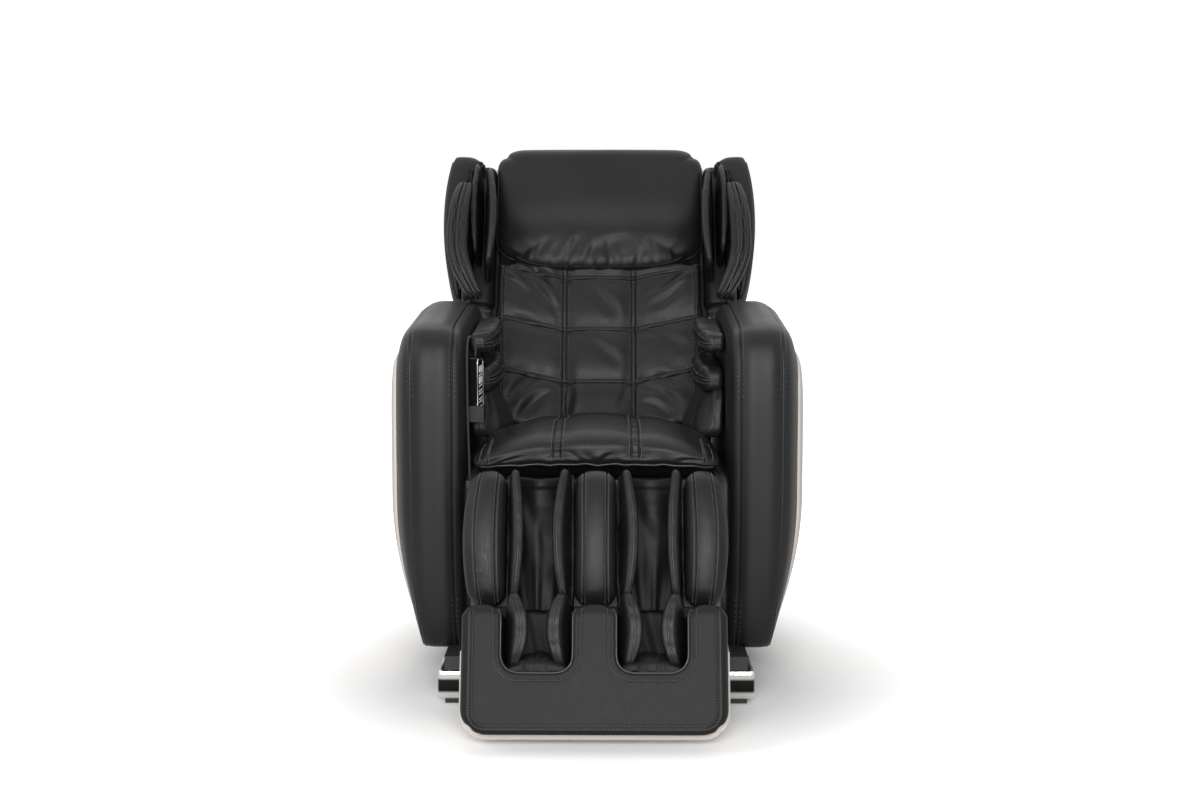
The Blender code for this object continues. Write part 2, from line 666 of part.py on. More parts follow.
def hip_pad(side, sign):
    """A leaf-shaped air pad beside the hip, between the seat and the arm."""
    wall = ARM_INNER - GAP
    middle_y = sum(HIP_PAD_Y) / 2

    def shape(px, py, pz):
        up = (pz - HIP_PAD_Z[0]) / (HIP_PAD_Z[1] - HIP_PAD_Z[0])
        along = (py - middle_y) / (HIP_PAD_Y[1] - middle_y)
        thick = (1.0 - 0.55 * abs(along) ** 3) * (1.0 - 0.45 * up)
        return sign * (wall - (wall - px) * thick), py + 0.03 * (up - 0.5), pz

    mesh = block("hip", (HIP_PAD_IN, wall), spread(*HIP_PAD_Y, 3), spread(*HIP_PAD_Z, 2), shape)
    soften(add_part(f"hip_pad_{side}", mesh, "black_leather"), (0, sign * wall))


# ---------------------------------------------------------------- seat


def build_seat():
    """One cushion with two sewn channels, a crown, and a roll that hangs over the deck's front edge."""
    half = SEAT_WIDTH / 2
    bottom = DECK_TOP + GAP
    full = SEAT_FRONT + 0.170  # behind this line the crown is at its full height
    xs = [0.0]
    for x in (SEAT_SEAM - CHANNEL, SEAT_SEAM, SEAT_SEAM + CHANNEL, half - 0.050, half):
        xs = [-x, *xs, x]
    ys = [SEAT_FRONT, SEAT_FRONT + 0.045, SEAT_FRONT + SEAT_ROLL, full, full + 0.100, full + 0.230, SEAT_BACK]

    def shape(x, y, z):
        side = abs(x) / half
        along = 2 * (y - SEAT_FRONT) / (SEAT_BACK - SEAT_FRONT) - 1
        if z > bottom + 0.01:
            behind = max(0.0, (y - full) / (SEAT_BACK - full))
            front = max(0.0, (full - y) / (full - SEAT_FRONT))
            fall = 0.39 * side ** 4 + 0.254 * front ** 2 + 0.305 * behind ** 0.7 * (1.0 + 0.25 * side ** 2)
            z = SEAT_CREST - SEAT_THICKNESS * fall - channel(abs(x), (SEAT_SEAM,), 0.008)
        elif y < SEAT_FRONT + SEAT_ROLL - 0.001:
            z = bottom + 0.288 * SEAT_THICKNESS
        return x * (1.0 - 0.02 * bump(along)), y, z

    mesh = block("seat_cushion", xs, ys, (bottom, SEAT_CREST), shape)
    soften(add_part("seat_cushion", mesh, "black_leather"))


# ---------------------------------------------------------------- backrest


def build_back_cushion(pivot):
    """The quilted cushion: sewn bands make a grid, and it is thinner behind the pillow."""
    rows = [BACK_FIRST_ROW + BACK_ROW * k for k in range(3)]
    zs = [BACK_START]
    for row in rows:
        zs += [row - 0.018, row, row + 0.018]
    zs += [LEDGE - 0.010, LEDGE + 0.040, BACK_LENGTH]
    xs = []
    for x in (BACK_SEAM - 0.020, BACK_SEAM, BACK_SEAM + 0.020, BACK_HALF - 0.030, BACK_HALF):
        xs = [-x, *xs, x]

    def shape(x, y, z):
        if y < 0:
            wrap = max(0.0, abs(x) / BACK_HALF - 0.80) / 0.20  # the outer columns come forward
            y = BACK_FRONT - (0.026 * wrap if z < LEDGE else 0.0)
            y += channel(abs(x), (BACK_SEAM,), 0.012) + channel(z, rows, 0.012)
            if z > LEDGE - 0.012:
                y = LEDGE_FRONT
        return x, y, z

    mesh = block("back_cushion", xs, (BACK_FRONT, BACK_REAR), zs, shape)
    soften(add_part("back_cushion", mesh, "black_leather", pivot))


def build_back_frame(pivot):
    """Two rails with bars across, the sleeve on the recline shaft, wing brackets and the actuator's lug."""
    half = BACK_RAIL_X + BACK_RAIL_WIDTH
    top = BACK_LENGTH - 0.012
    bar_x = around(0.0, BACK_RAIL_X + 5 * STEP)
    bar_y = (HEAD_REAR + STEP / 2, BACK_RAIL_Y[1] - 2 * STEP)
    frame = add_part("back_frame", box("cross_bar", bar_x, bar_y, (0.062, 0.090)), "black_steel", pivot)
    join(
        frame,
        box("top_bar", bar_x, bar_y, (top - 0.026, top - STEP)),
        rod("sleeve", SHAFT_RADIUS + SLEEVE_WALL, (-half, half)),
    )
    for side, sign in SIDES:
        rail_x = (BACK_RAIL_X, half)
        join(
            frame,
            box(f"{side}_rail", mirrored(sign, rail_x), BACK_RAIL_Y, (0.020, top)),
            box(f"{side}_foot", mirrored(sign, inset(rail_x, 2 * STEP)), (-0.012, BACK_RAIL_Y[1] - 3 * STEP),
                (-0.014, 0.040)),
        )
        for place, z in (("low", WING_BOTTOM + 0.060), ("high", WING_TOP - 0.090)):
            reach = mirrored(sign, (half - 2 * STEP, WING_ROOT_X - GAP))
            bracket_y = (BACK_REAR + STEP, SHELL_START - STEP)
            join(frame, box(f"{side}_{place}_bracket", reach, bracket_y, (z, z + 0.030)))
        ear = (BACK_ACTUATOR_X + sign * EAR_GAP, BACK_ACTUATOR_X + sign * (EAR_GAP + EAR_WALL))
        join(frame, box(f"{side}_lug", ear, around(BACK_LUG[0], 0.012), (BACK_LUG[1] - 0.012, 0.076)))
    cut(frame, rod("sleeve_bore", SHAFT_RADIUS + RUN, around(0.0, BACK_HALF)))


def build_back_shell(pivot):
    """The pale outer shell, open towards the sitter and at the bottom."""
    low, high = 0.030, BACK_LENGTH + 0.020

    def shape(x, y, z):
        if y > SHELL_START + 0.001:
            up = min(1.0, 1.25 * (z - low) / (high - low))
            y = SHELL_START + (y - SHELL_START) * (0.62 + 0.38 * up)
            y -= 0.030 * max(0.0, abs(x) / SHELL_HALF - 0.6)
        return x, y, z

    ys = spread(SHELL_START, SHELL_DEPTH, 2)
    mesh = block("back_shell", spread(-SHELL_HALF, SHELL_HALF, 4), ys, spread(low, high, 4), shape)
    open_sides(mesh, (1, SHELL_START), (2, low))
    shell = add_part("back_shell", mesh, "greige_shell", pivot)
    soften(shell)
    wall = shell.modifiers.new("wall", "SOLIDIFY")
    wall.thickness = SHELL_WALL
    wall.offset = -1.0


def build_pillow(hinge):
    """The head pillow, in the frame of its hinge along its top edge."""
    front = -PILLOW_THICKNESS

    def shape(x, y, z):
        side = x / PILLOW_HALF
        up = 1.0 + 2.0 * z / PILLOW_LENGTH
        if z < -PILLOW_LENGTH * 0.9:
            z += 0.016 * side ** 2
        if y < front / 2:
            y = front * (0.55 + 0.45 * bump(side ** 2)) * (0.82 - 0.18 * up) - 0.004
        return x * (1.0 - 0.012 * bump(up)), y, z

    xs = spread(-PILLOW_HALF, PILLOW_HALF, 5)
    mesh = block("head_pillow", xs, (front, 0.0), spread(-PILLOW_LENGTH, 0.0, 4), shape)
    soften(add_part("head_pillow", mesh, "black_leather", hinge))


# ---------------------------------------------------------------- wings with their pads


def build_wing(side, sign, pivot):
    """A side wing that wraps the back shell's front edge, with three air pads on its inner side."""
    inner = WING_ROOT_X + STEP / 2
    middle = inner + INNER_PAD + PAD_GAP
    outer = middle + MIDDLE_PAD + PAD_GAP
    pad_side = outer + OUTER_PAD + 2 * GAP
    rings = []
    for z in spread(WING_BOTTOM, WING_TOP, 6):
        up = (2 * z - WING_TOP - WING_BOTTOM) / (WING_TOP - WING_BOTTOM)
        end = abs(up) ** 4
        out = WING_ROOT_X + WING_REACH + 0.010 - 0.018 * (up - 0.15) ** 2 - 0.004 * end
        nose = ROOT_FRONT + (WING_FRONT - ROOT_FRONT) * (1.0 - 0.40 * max(0.0, -up) ** 2 - 0.25 * end)
        rear = WING_REAR - 0.030 * end
        outline = [
            (WING_ROOT_X, ROOT_FRONT), (WING_ROOT_X, SHELL_START - GAP), (SHELL_HALF + GAP, SHELL_START - GAP),
            (SHELL_HALF + GAP, rear - 0.020), (SHELL_HALF + 0.008, rear), (out - 0.055, rear),
            (out - 0.022, rear - 0.035), (out - 0.002, 0.030), (out, -0.020),
            (out - 0.004, nose + 0.016), (out - 0.010, nose), (pad_side, nose + 0.006), (pad_side, ROOT_FRONT),
        ]
        rings.append([(sign * x, y, z) for x, y in outline])
    add_part(f"wing_{side}", loft("wing", rings), "black_leather", pivot)

    back = ROOT_FRONT - GAP
    for name, x, width, proud, z in (
        ("inner_pad", inner, INNER_PAD, 0.135, (WING_BOTTOM + 0.050, WING_TOP - 0.057)),
        ("middle_pad", middle, MIDDLE_PAD, 0.120, (WING_BOTTOM + 0.088, WING_TOP - 0.043)),
    ):
        span = mirrored(sign, (x, x + width))
        leaf(f"{name}_{side}", span, (back - proud, back), z, "black_leather", pivot, "rear")

    # the outer pad laps over the wing's front edge
    low, high = WING_BOTTOM + 0.004, WING_TOP - 0.093
    lap = WING_FRONT - 0.016

    def shape(x, y, z):
        up = (2 * z - low - high) / (high - low)
        if x > outer + 0.001:
            x = pad_side + PAD_LAP * (1.0 - 0.5 * up ** 2) if y < lap + 0.004 else x - PAD_TUCK
        if y < lap + 0.004:
            y = lap + (y - lap) * (1.0 - 0.45 * up ** 2)
        return sign * x, y, z

    ys = (WING_FRONT - PAD_PROUD, lap, lap + 0.008, back)
    mesh = block("outer_pad", (outer, outer + OUTER_PAD), ys, spread(low, high, 3), shape)
    soften(add_part(f"outer_pad_{side}", mesh, "black_leather", pivot), (1, back))


# ---------------------------------------------------------------- massage mechanism


def build_mechanism(travel):
    """The carriage between the back frame's rails, with a peg for each kneading head."""
    plate_y = (HEAD_REAR + 2 * STEP, HEAD_REAR + 2 * STEP + CARRIAGE_PLATE)
    plate = box("roller_carriage", around(0.0, BACK_RAIL_X - RUN), plate_y, (0.0, CARRIAGE_HEIGHT))
    carriage = add_part("roller_carriage", plate, "black_plastic", travel)
    middle = CARRIAGE_HEIGHT / 2
    for side, sign in SIDES:
        x = sign * HEAD_X
        peg = cylinder(f"{side}_peg", HEAD_PEG, (x, HEAD_FRONT, middle), (x, plate_y[0] + 2 * STEP, middle))
        join(carriage, peg)
    motor_y = (plate_y[0] + 2 * STEP, plate_y[1] + 0.030)
    join(carriage, box("motor", around(0.0, 0.045), motor_y, inset((0.0, CARRIAGE_HEIGHT), 0.012)))


def build_head(side, axis):
    """A kneading head: an arm with a round node at each end, turning on a peg along y."""
    wide = HEAD_WIDTH / 2
    arm_y = (4 * STEP, HEAD_DEPTH - 3 * STEP)
    arm = box(f"kneading_head_{side}", around(0.0, 0.6 * wide), arm_y, around(0.0, HEAD_REACH))
    head = add_part(f"kneading_head_{side}", arm, "black_plastic", axis)
    for end, z in (("low", -HEAD_REACH), ("high", HEAD_REACH)):
        join(head, cylinder(end, 0.92 * wide, (0, 0.0, z), (0, HEAD_DEPTH - STEP, z), 20))
    cut(head, cylinder("peg_bore", HEAD_PEG + RUN, (0, -0.02, 0), (0, HEAD_DEPTH + 0.02, 0)))


# ---------------------------------------------------------------- leg rest


def build_calf(pivot):
    """The calf shell with its sleeve, slide guides and actuator lug, and the pillows and flaps on it."""
    rear = CALF_PLATE_Y[1] - 1.5 * STEP
    plate = box("plate", around(0.0, LEG_HALF - 2 * STEP), CALF_PLATE_Y, (CALF_BOTTOM + 2 * STEP, -0.030))
    shell = add_part("calf_shell", plate, "black_plastic", pivot)
    sleeve = LEG_EAR[0] - RUN
    join(
        shell,
        box("top_plate", around(0.0, sleeve - 5 * STEP), inset(CALF_PLATE_Y, STEP / 2), (-0.040, 0.010)),
        rod("sleeve", LEG_SHAFT_RADIUS + SLEEVE_WALL, around(0.0, sleeve)),
    )
    for side, sign in SIDES:
        guide_x = mirrored(sign, around(GUIDE_X, GUIDE_RADIUS + 0.005))
        lug = (LEG_ACTUATOR_X + sign * EAR_GAP, LEG_ACTUATOR_X + sign * (EAR_GAP + EAR_WALL))
        join(
            shell,
            box(f"{side}_guide", guide_x, (rear, GUIDE_Y + GUIDE_RADIUS + 0.004),
                (CALF_BOTTOM + 0.010, CALF_BOTTOM + 0.100)),
            box(f"{side}_lug", lug, (rear, LEG_LUG[0] + 0.012), around(LEG_LUG[1], 0.012)),
        )
    for side, sign in SIDES:
        bore = ((sign * GUIDE_X, GUIDE_Y, CALF_BOTTOM - 0.02), (sign * GUIDE_X, GUIDE_Y, 0.0))
        cut(shell, cylinder(f"{side}_guide_bore", GUIDE_RADIUS + RUN, *bore, 12))
    cut(shell, rod("sleeve_bore", LEG_SHAFT_RADIUS + RUN, around(0.0, LEG_HALF)))

    seat_y = CALF_PLATE_Y[0] - GAP

    def pillow(name, low, high, outer_side):
        def shape(x, y, z):
            up = (2 * z - CALF_TOP - CALF_BOTTOM) / CALF_LENGTH
            if outer_side and x == outer_side * LEG_HALF:
                x -= outer_side * 0.012 * up ** 2
            if y < -CALF_DEPTH + 0.001:
                y += 0.010 * up ** 4
            return x, y, z

        zs = spread(CALF_BOTTOM, CALF_TOP, 4)
        mesh = block(name, (low, (low + high) / 2, high), spread(-CALF_DEPTH, seat_y, 2), zs, shape)
        soften(add_part(name, mesh, "black_leather", pivot))

    pillow("calf_pillow_left", -LEG_HALF, -TROUGH_OUT, -1)
    pillow("calf_pillow_centre", -TROUGH_IN, TROUGH_IN, 0)
    pillow("calf_pillow_right", TROUGH_OUT, LEG_HALF, 1)
    flap_y = (-CALF_DEPTH - 0.004, seat_y)
    flap_z = (CALF_BOTTOM + 0.010, CALF_TOP + 0.002)
    for side, sign in SIDES:
        for place, x, toward in (
            ("inner", TROUGH_IN + STEP / 2, sign), ("outer", TROUGH_OUT - STEP / 2 - FLAP_WIDTH, -sign)
        ):
            span = mirrored(sign, (x, x + FLAP_WIDTH))
            name = f"calf_flap_{side}_{place}"
            leaf(name, span, flap_y, flap_z, "black_leather", pivot, "rear", 0.30, 0.004 * toward)


def level_cut(height):
    """Returns a function that gives, for y in the leg rest's frame, the z at which that world height lies."""
    tilt = math.radians(LEG_TILT)
    return lambda y: (height - LEG_Z + math.sin(tilt) * y) / math.cos(tilt)


def build_foot(slide):
    """The foot section with its two wells and slide rails. Its underside is cut level with the floor."""
    floor_z = level_cut(FOOT_FLOOR)

    def shape(x, y, z):
        return (x, y, z) if z > FOOT_TOP - 0.1 else (x, y, floor_z(y))

    length = (floor_z(-FOOT_DEPTH), FOOT_TOP)
    mesh = block("foot_housing", around(0.0, LEG_HALF), (-FOOT_DEPTH, FOOT_REAR), length, shape)
    housing = add_part("foot_housing", mesh, "black_leather", slide)
    round_edges(housing, 0.016)
    for side, sign in SIDES:
        well_x = mirrored(sign, (TROUGH_IN, TROUGH_OUT))
        room = box("well", well_x, (-FOOT_DEPTH - 0.05, WELL_HEEL), (WELL_FLOOR, FOOT_TOP + 0.05))
        well = add_cutter(f"well_{side}", room, slide)
        round_edges(well, 0.020)
        carve = housing.modifiers.new(f"well_{side}", "BOOLEAN")
        carve.operation = "DIFFERENCE"
        carve.object = well
    bay_y = (-FOOT_DEPTH + BAY_WALL, FOOT_REAR + BAY_WALL)
    bay_z = (BAY_TOP - 2 * ROLLER_DROP, BAY_TOP)
    cut(housing, box("roller_bay", around(0.0, LEG_HALF - BAY_WALL), bay_y, bay_z))
    for side, sign in SIDES:
        x = sign * GUIDE_X
        join(
            housing,
            cylinder(f"{side}_rail", GUIDE_RADIUS, (x, GUIDE_Y, FOOT_TOP - 0.095),
                     (x, GUIDE_Y, CALF_BOTTOM + 0.210), 12),
            box(f"{side}_rail_block", around(x, 1.5 * GUIDE_RADIUS),
                (FOOT_REAR - 0.012, GUIDE_Y + GUIDE_RADIUS / 2), (FOOT_TOP - 0.100, FOOT_TOP - 0.030)),
        )

    # air pads beside each foot, on the wells' side walls
    pad_y = (-FOOT_DEPTH + 0.020, -FOOT_DEPTH + 0.090)
    pad_z = (WELL_FLOOR + 0.024, FOOT_TOP - GAP)
    for side, sign in SIDES:
        for place, wall, into in (("inner", TROUGH_IN + GAP, 1), ("outer", TROUGH_OUT - GAP, -1)):
            span = mirrored(sign, sorted((wall, wall + into * FOOT_PAD_WIDTH)))
            leaf(f"foot_pad_{side}_{place}", span, pad_y, pad_z, "black_leather", slide, sign * wall)


def build_foot_shell(slide):
    """The pale shell round the foot section's back and underside."""
    shell_floor = level_cut(FOOT_FLOOR - 4 * LEG_SHELL_WALL)
    out = LEG_HALF + GAP + LEG_SHELL_WALL
    front = -FOOT_DEPTH + 0.045
    bottom = shell_floor(front)

    def shape(x, y, z):
        if z < bottom + 0.02:
            z = shell_floor(y)
        return (0.94 * x if y > LEG_SHELL_BACK - 0.001 else x), y, z

    zs = spread(bottom, FOOT_TOP - 2 * STEP, 2)
    mesh = block("foot_shell", spread(-out, out, 2), (front, LEG_SHELL_BACK), zs, shape)
    shell = add_part("foot_shell", mesh, "greige_shell", slide)
    round_edges(shell, 0.012)
    housing_floor = level_cut(FOOT_FLOOR - GAP)

    def hollow_shape(x, y, z):
        return (x, y, z) if z > FOOT_TOP else (x, y, housing_floor(y))

    hollow_y = (front - 0.10, FOOT_REAR + STEP / 2)
    cut(
        shell,
        block("hollow", around(0.0, LEG_HALF + GAP), hollow_y, (bottom, FOOT_TOP + 0.05), hollow_shape),
        box("rear_pocket", around(0.0, LEG_HALF - 0.02), (FOOT_REAR - 0.01, LEG_SHELL_BACK - LEG_SHELL_WALL),
            (housing_floor(LEG_SHELL_BACK), FOOT_TOP + 0.05)),
    )


def build_sole_roller(axis):
    """A shaft with four rubber discs under the soles, in the frame of its own axis."""
    shaft = rod("sole_roller", 0.006, around(0.0, LEG_HALF - BAY_WALL - GAP), sides=12)
    roller = add_part("sole_roller", shaft, "rubber", axis)
    for side, sign in SIDES:
        trough = TROUGH_OUT - TROUGH_IN
        for place, x in (("inner", TROUGH_IN + 0.3 * trough), ("outer", TROUGH_OUT - 0.3 * trough)):
            join(roller, rod(f"{side}_{place}", ROLLER_RADIUS, around(sign * x, 0.014), sides=12))


# ---------------------------------------------------------------- actuators, electrics


def turned(point, tilt, pivot):
    """World (y, z) of a point given in a frame that is tilted by that many degrees about its pivot."""
    turn = math.radians(tilt)
    y, z = point
    return (
        pivot[0] + y * math.cos(turn) - z * math.sin(turn),
        pivot[1] + y * math.sin(turn) + z * math.cos(turn),
    )


def build_actuator(name, x, start, end, rod_out, rod_in):
    """A screw actuator from start to end, both (y, z): its housing turns at start and the rod slides in it."""
    length = math.dist(start, end)
    slope = math.degrees(math.atan2(end[1] - start[1], end[0] - start[0]))
    pivot = add_empty(f"{name}_pivot", (x, *start), slope)
    body = length - rod_out
    half = ACTUATOR_HALF
    eye = EAR_GAP - 2.5 * RUN
    tube = box(name, around(0.0, half), (0.030, body), around(0.0, half))
    housing = add_part(name, tube, "black_plastic", pivot)
    join(
        housing,
        box("eye", around(0.0, eye), (-2.4 * EYE_RADIUS, 0.040), around(0.0, 2.4 * EYE_RADIUS)),
        box("motor", around(0.0, half - 1.5 * STEP), (0.034, 0.110), (-half - 0.045, -half + 2 * STEP)),
    )
    cut(
        housing,
        cylinder("rod_bore", ACTUATOR_ROD + RUN, (0, 0.055, 0), (0, body + 0.02, 0)),
        rod("pin_bore", EYE_RADIUS + RUN, around(0.0, 0.03), sides=12),
    )
    stem = cylinder(f"{name}_rod", ACTUATOR_ROD, (0, body - rod_in, 0), (0, length - 0.010, 0))
    arm = add_part(f"{name}_rod", stem, "bare_steel", pivot)
    join(arm, box("rod_eye", around(0.0, eye), (length - 0.016, length + 0.010), around(0.0, 2 * EYE_RADIUS)))


def build_electrics():
    """The control box and the air pump lie on the base's inner rails."""
    low = RAIL_TOP - 2 * STEP + GAP
    y = (REAR_TUBE_Y[0] - 0.021 - ELECTRICS_DEPTH, REAR_TUBE_Y[0] - 0.021)
    end = FRAME_HALF - 2 * STEP
    mesh = box("control_box", (CONTROL_BOX_X, end), y, (low, low + CONTROL_BOX_HEIGHT))
    case = add_part("control_box", mesh, "black_plastic")
    round_edges(case, 0.005, 1)
    mesh = box("air_pump", (-end, -PUMP_X), y, (low, low + PUMP_HEIGHT))
    pump = add_part("air_pump", mesh, "black_plastic")
    round_edges(pump, 0.008)
    # rocker switch and mains inlet, in pockets of the control box's rear face
    switch_z = low + SWITCH_HEIGHT
    wide, high = SWITCH_HALF
    inlet_x = SWITCH_X + 0.042
    cut(
        case,
        box("switch_pocket", around(SWITCH_X, wide + RUN), (y[1] - 0.010, y[1] + 0.02),
            around(switch_z, high + 2 * RUN)),
        box("inlet", around(inlet_x, 0.012), (y[1] - 0.014, y[1] + 0.02), around(switch_z, 0.010)),
    )
    rocker = add_empty("power_switch_pivot", (SWITCH_X, y[1] - 0.0025, switch_z), -SWITCH_TILT)

    def saddle(px, py, pz):
        return px, py - 0.0022 if py > 0 and abs(pz) < 0.001 else py, pz

    tab = block("power_switch", around(0.0, wide), (-0.004, 0.0045), (-high, 0.0, high), saddle)
    add_part("power_switch", tab, "gloss_black", rocker)


# ---------------------------------------------------------------- hand control


def build_remote():
    """The hand control stands in a cup on the left arm's inner wall, turned a little towards the sitter."""
    turn = math.radians(REMOTE_TURN)
    thick, wide = REMOTE_THICKNESS / 2, REMOTE_WIDTH / 2
    across = thick * math.cos(turn) + wide * math.sin(turn) + RUN
    along = wide * math.cos(turn) + thick * math.sin(turn) + RUN
    x = -(ARM_INNER - GAP - HOLDER_WALL - across)
    place = add_empty("remote_place", (x, REMOTE_Y, REMOTE_Z))
    place.rotation_euler.z = -turn
    body = box("remote", around(0.0, thick), around(0.0, wide), (0.0, REMOTE_LENGTH))
    remote = add_part("remote", body, "gloss_black", place)
    round_edges(remote, 0.004)
    half_y, half_z = KEY_HALF
    for name, z in KEYS:
        pocket_x = (thick - KEY_SUNK - 2 * RUN, thick + 0.01)
        cut(remote, box(f"{name}_pocket", pocket_x, around(0.0, half_y + RUN), around(z, half_z + RUN)))
        key = box(name, (thick - KEY_SUNK, thick + KEY_PROUD), around(0.0, half_y), around(z, half_z))
        add_part(name, key, "key_white", place)

    low = REMOTE_Z - GAP
    cup_x, cup_y = around(x, across + HOLDER_WALL), around(REMOTE_Y, along + HOLDER_WALL)
    cup = box("cup", cup_x, cup_y, (low - HOLDER_WALL, REMOTE_Z + HOLDER_HEIGHT))
    holder = add_part("remote_holder", cup, "black_plastic")
    cut(holder, box("cup_room", around(x, across), around(REMOTE_Y, along), (low, REMOTE_Z + 0.1)))


def smooth_route(points, step):
    """Points every step along a smooth curve through the given ones."""
    vectors = [Vector(point) for point in points]
    ends = [2 * vectors[0] - vectors[1], *vectors, 2 * vectors[-1] - vectors[-2]]
    route = []
    for k in range(1, len(ends) - 2):
        a, b, c, d = ends[k - 1:k + 3]
        count = max(1, round((c - b).length / step))
        for n in range(count):
            t = n / count
            square = (2 * a - 5 * b + 4 * c - d) * t ** 2
            cube = (3 * b - a - 3 * c + d) * t ** 3
            route.append(0.5 * (2 * b + (c - a) * t + square + cube))
    route.append(vectors[-1])
    return route


def build_cable():
    """The hand control's cable, along its own route."""
    curve = bpy.data.curves.new("remote_cable", "CURVE")
    curve.dimensions = "3D"
    curve.bevel_depth = CABLE_RADIUS
    curve.bevel_resolution = 2
    curve.use_fill_caps = True
    spline = curve.splines.new("POLY")
    route = smooth_route(CABLE_ROUTE, 6 * CABLE_RADIUS)
    spline.points.add(len(route) - 1)
    for point, at in zip(spline.points, route):
        point.co = (*at, 1.0)
    cable = bpy.data.objects.new("remote_cable", curve)
    curve.materials.append(finish_of("remote_cable", "rubber"))
    parts.objects.link(cable)


# ---------------------------------------------------------------- assembly

build_base()
build_feet()
build_seat()
for side, sign in SIDES:
    build_wheel(side, sign)
    build_arm(side, sign)
    arm_pad("upper_arm_pad", side, sign, UPPER_PAD_IN, UPPER_PAD_Y, UPPER_PAD_Z, 0.008)
    arm_pad("lower_arm_pad", side, sign, LOWER_PAD_IN, LOWER_PAD_Y, LOWER_PAD_Z, 0.004)
    hip_pad(side, sign)

recline = add_empty("recline_pivot", (0.0, PIVOT_Y, PIVOT_Z), -RECLINE_REST)
build_back_cushion(recline)
build_back_frame(recline)
build_back_shell(recline)
build_pillow(add_empty("pillow_hinge", (0.0, LEDGE_FRONT - GAP, PILLOW_TOP), 0.0, recline))
for side, sign in SIDES:
    build_wing(side, sign, recline)
carriage = add_empty("carriage_travel", (0.0, 0.0, CARRIAGE_START), 0.0, recline)
build_mechanism(carriage)
for side, sign in SIDES:
    axis = (sign * HEAD_X, HEAD_FRONT, CARRIAGE_HEIGHT / 2)
    build_head(side, add_empty(f"kneading_axis_{side}", axis, 0.0, carriage))

leg = add_empty("leg_pivot", (0.0, LEG_Y, LEG_Z), -LEG_TILT)
build_calf(leg)
foot = add_empty("foot_slide", (0.0, 0.0, 0.0), 0.0, leg)
build_foot(foot)
build_foot_shell(foot)
build_sole_roller(add_empty("sole_roller_axis", (0.0, ROLLER_Y, BAY_TOP - ROLLER_DROP), 0.0, foot))

back_lug = turned(BACK_LUG, -RECLINE_REST, (PIVOT_Y, PIVOT_Z))
leg_lug = turned(LEG_LUG, -LEG_TILT, (LEG_Y, LEG_Z))
build_actuator("back_actuator", BACK_ACTUATOR_X, BACK_ANCHOR, back_lug, BACK_ROD_OUT, BACK_ROD_IN)
build_actuator("leg_actuator", LEG_ACTUATOR_X, LEG_ANCHOR, leg_lug, LEG_ROD_OUT, LEG_ROD_IN)
build_electrics()
build_remote()
build_cable()
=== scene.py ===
# %% [markdown]
# # A massage chair, dressed around its frame
# The chair arrives as a fixed frame: plain solids at their real size, each on the body it moves with. This
# notebook gives them their looks. Everything soft is built again as a sewn, padded form in the same place,
# and the hard parts that stay get finishes. We work in metres, in the frame's own axes: the chair faces -Y.

# %% Load the frame
import math

import bmesh
import bpy
import numpy as np
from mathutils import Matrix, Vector
from mathutils.bvhtree import BVHTree


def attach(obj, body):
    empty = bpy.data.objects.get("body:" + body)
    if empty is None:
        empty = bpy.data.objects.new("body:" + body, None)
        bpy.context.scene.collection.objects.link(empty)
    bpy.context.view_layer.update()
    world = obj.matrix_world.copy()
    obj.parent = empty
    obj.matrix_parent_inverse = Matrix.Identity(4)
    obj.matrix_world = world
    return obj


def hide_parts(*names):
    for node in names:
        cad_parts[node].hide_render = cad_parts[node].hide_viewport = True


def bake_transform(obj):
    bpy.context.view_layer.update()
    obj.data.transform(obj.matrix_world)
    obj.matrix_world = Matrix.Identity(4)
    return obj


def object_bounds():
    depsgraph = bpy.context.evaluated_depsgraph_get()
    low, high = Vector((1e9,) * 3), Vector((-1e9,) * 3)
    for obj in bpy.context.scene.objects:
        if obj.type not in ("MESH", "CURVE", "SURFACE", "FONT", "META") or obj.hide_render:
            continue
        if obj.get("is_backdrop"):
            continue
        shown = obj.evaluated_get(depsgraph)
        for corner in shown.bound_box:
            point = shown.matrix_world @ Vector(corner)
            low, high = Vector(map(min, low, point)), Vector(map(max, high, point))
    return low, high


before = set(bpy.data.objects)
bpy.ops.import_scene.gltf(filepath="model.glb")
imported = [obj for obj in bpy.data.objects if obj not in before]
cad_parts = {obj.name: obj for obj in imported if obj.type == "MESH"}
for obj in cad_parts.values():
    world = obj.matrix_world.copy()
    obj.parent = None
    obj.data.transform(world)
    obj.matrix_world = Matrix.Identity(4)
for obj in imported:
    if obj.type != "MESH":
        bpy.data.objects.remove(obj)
cad_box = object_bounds()
scene = bpy.context.scene

# %% [markdown]
# ## Camera
# The photograph was taken from standing height with a normal lens, almost straight on. A lens of 53 mm on a
# 36 mm sensor, tilted down 6.5 degrees, gives the same vanishing points. We place the camera at given numbers
# instead of with a helper, so that the frame is the same every time.

# %% Place the camera
CAMERA_AT = (0.0375, -3.840, 1.010)
CAMERA_DOWN = 6.5
CAMERA_LEFT = 0.49
LENS = 52.9


def new_object(name, data, material=None):
    """An object in the scene for a mesh, a curve, a lamp or a camera."""
    obj = bpy.data.objects.new(name, data)
    scene.collection.objects.link(obj)
    if material:
        data.materials.append(material)
    return obj


lens = bpy.data.cameras.new("studio_camera")
lens.lens = LENS
camera = new_object("studio_camera", lens)
camera.location = CAMERA_AT
camera.rotation_euler = (math.radians(90 - CAMERA_DOWN), 0.0, math.radians(CAMERA_LEFT))
scene.camera = camera
scene.view_settings.view_transform = "Standard"
print("camera", CAMERA_AT, "lens", LENS)

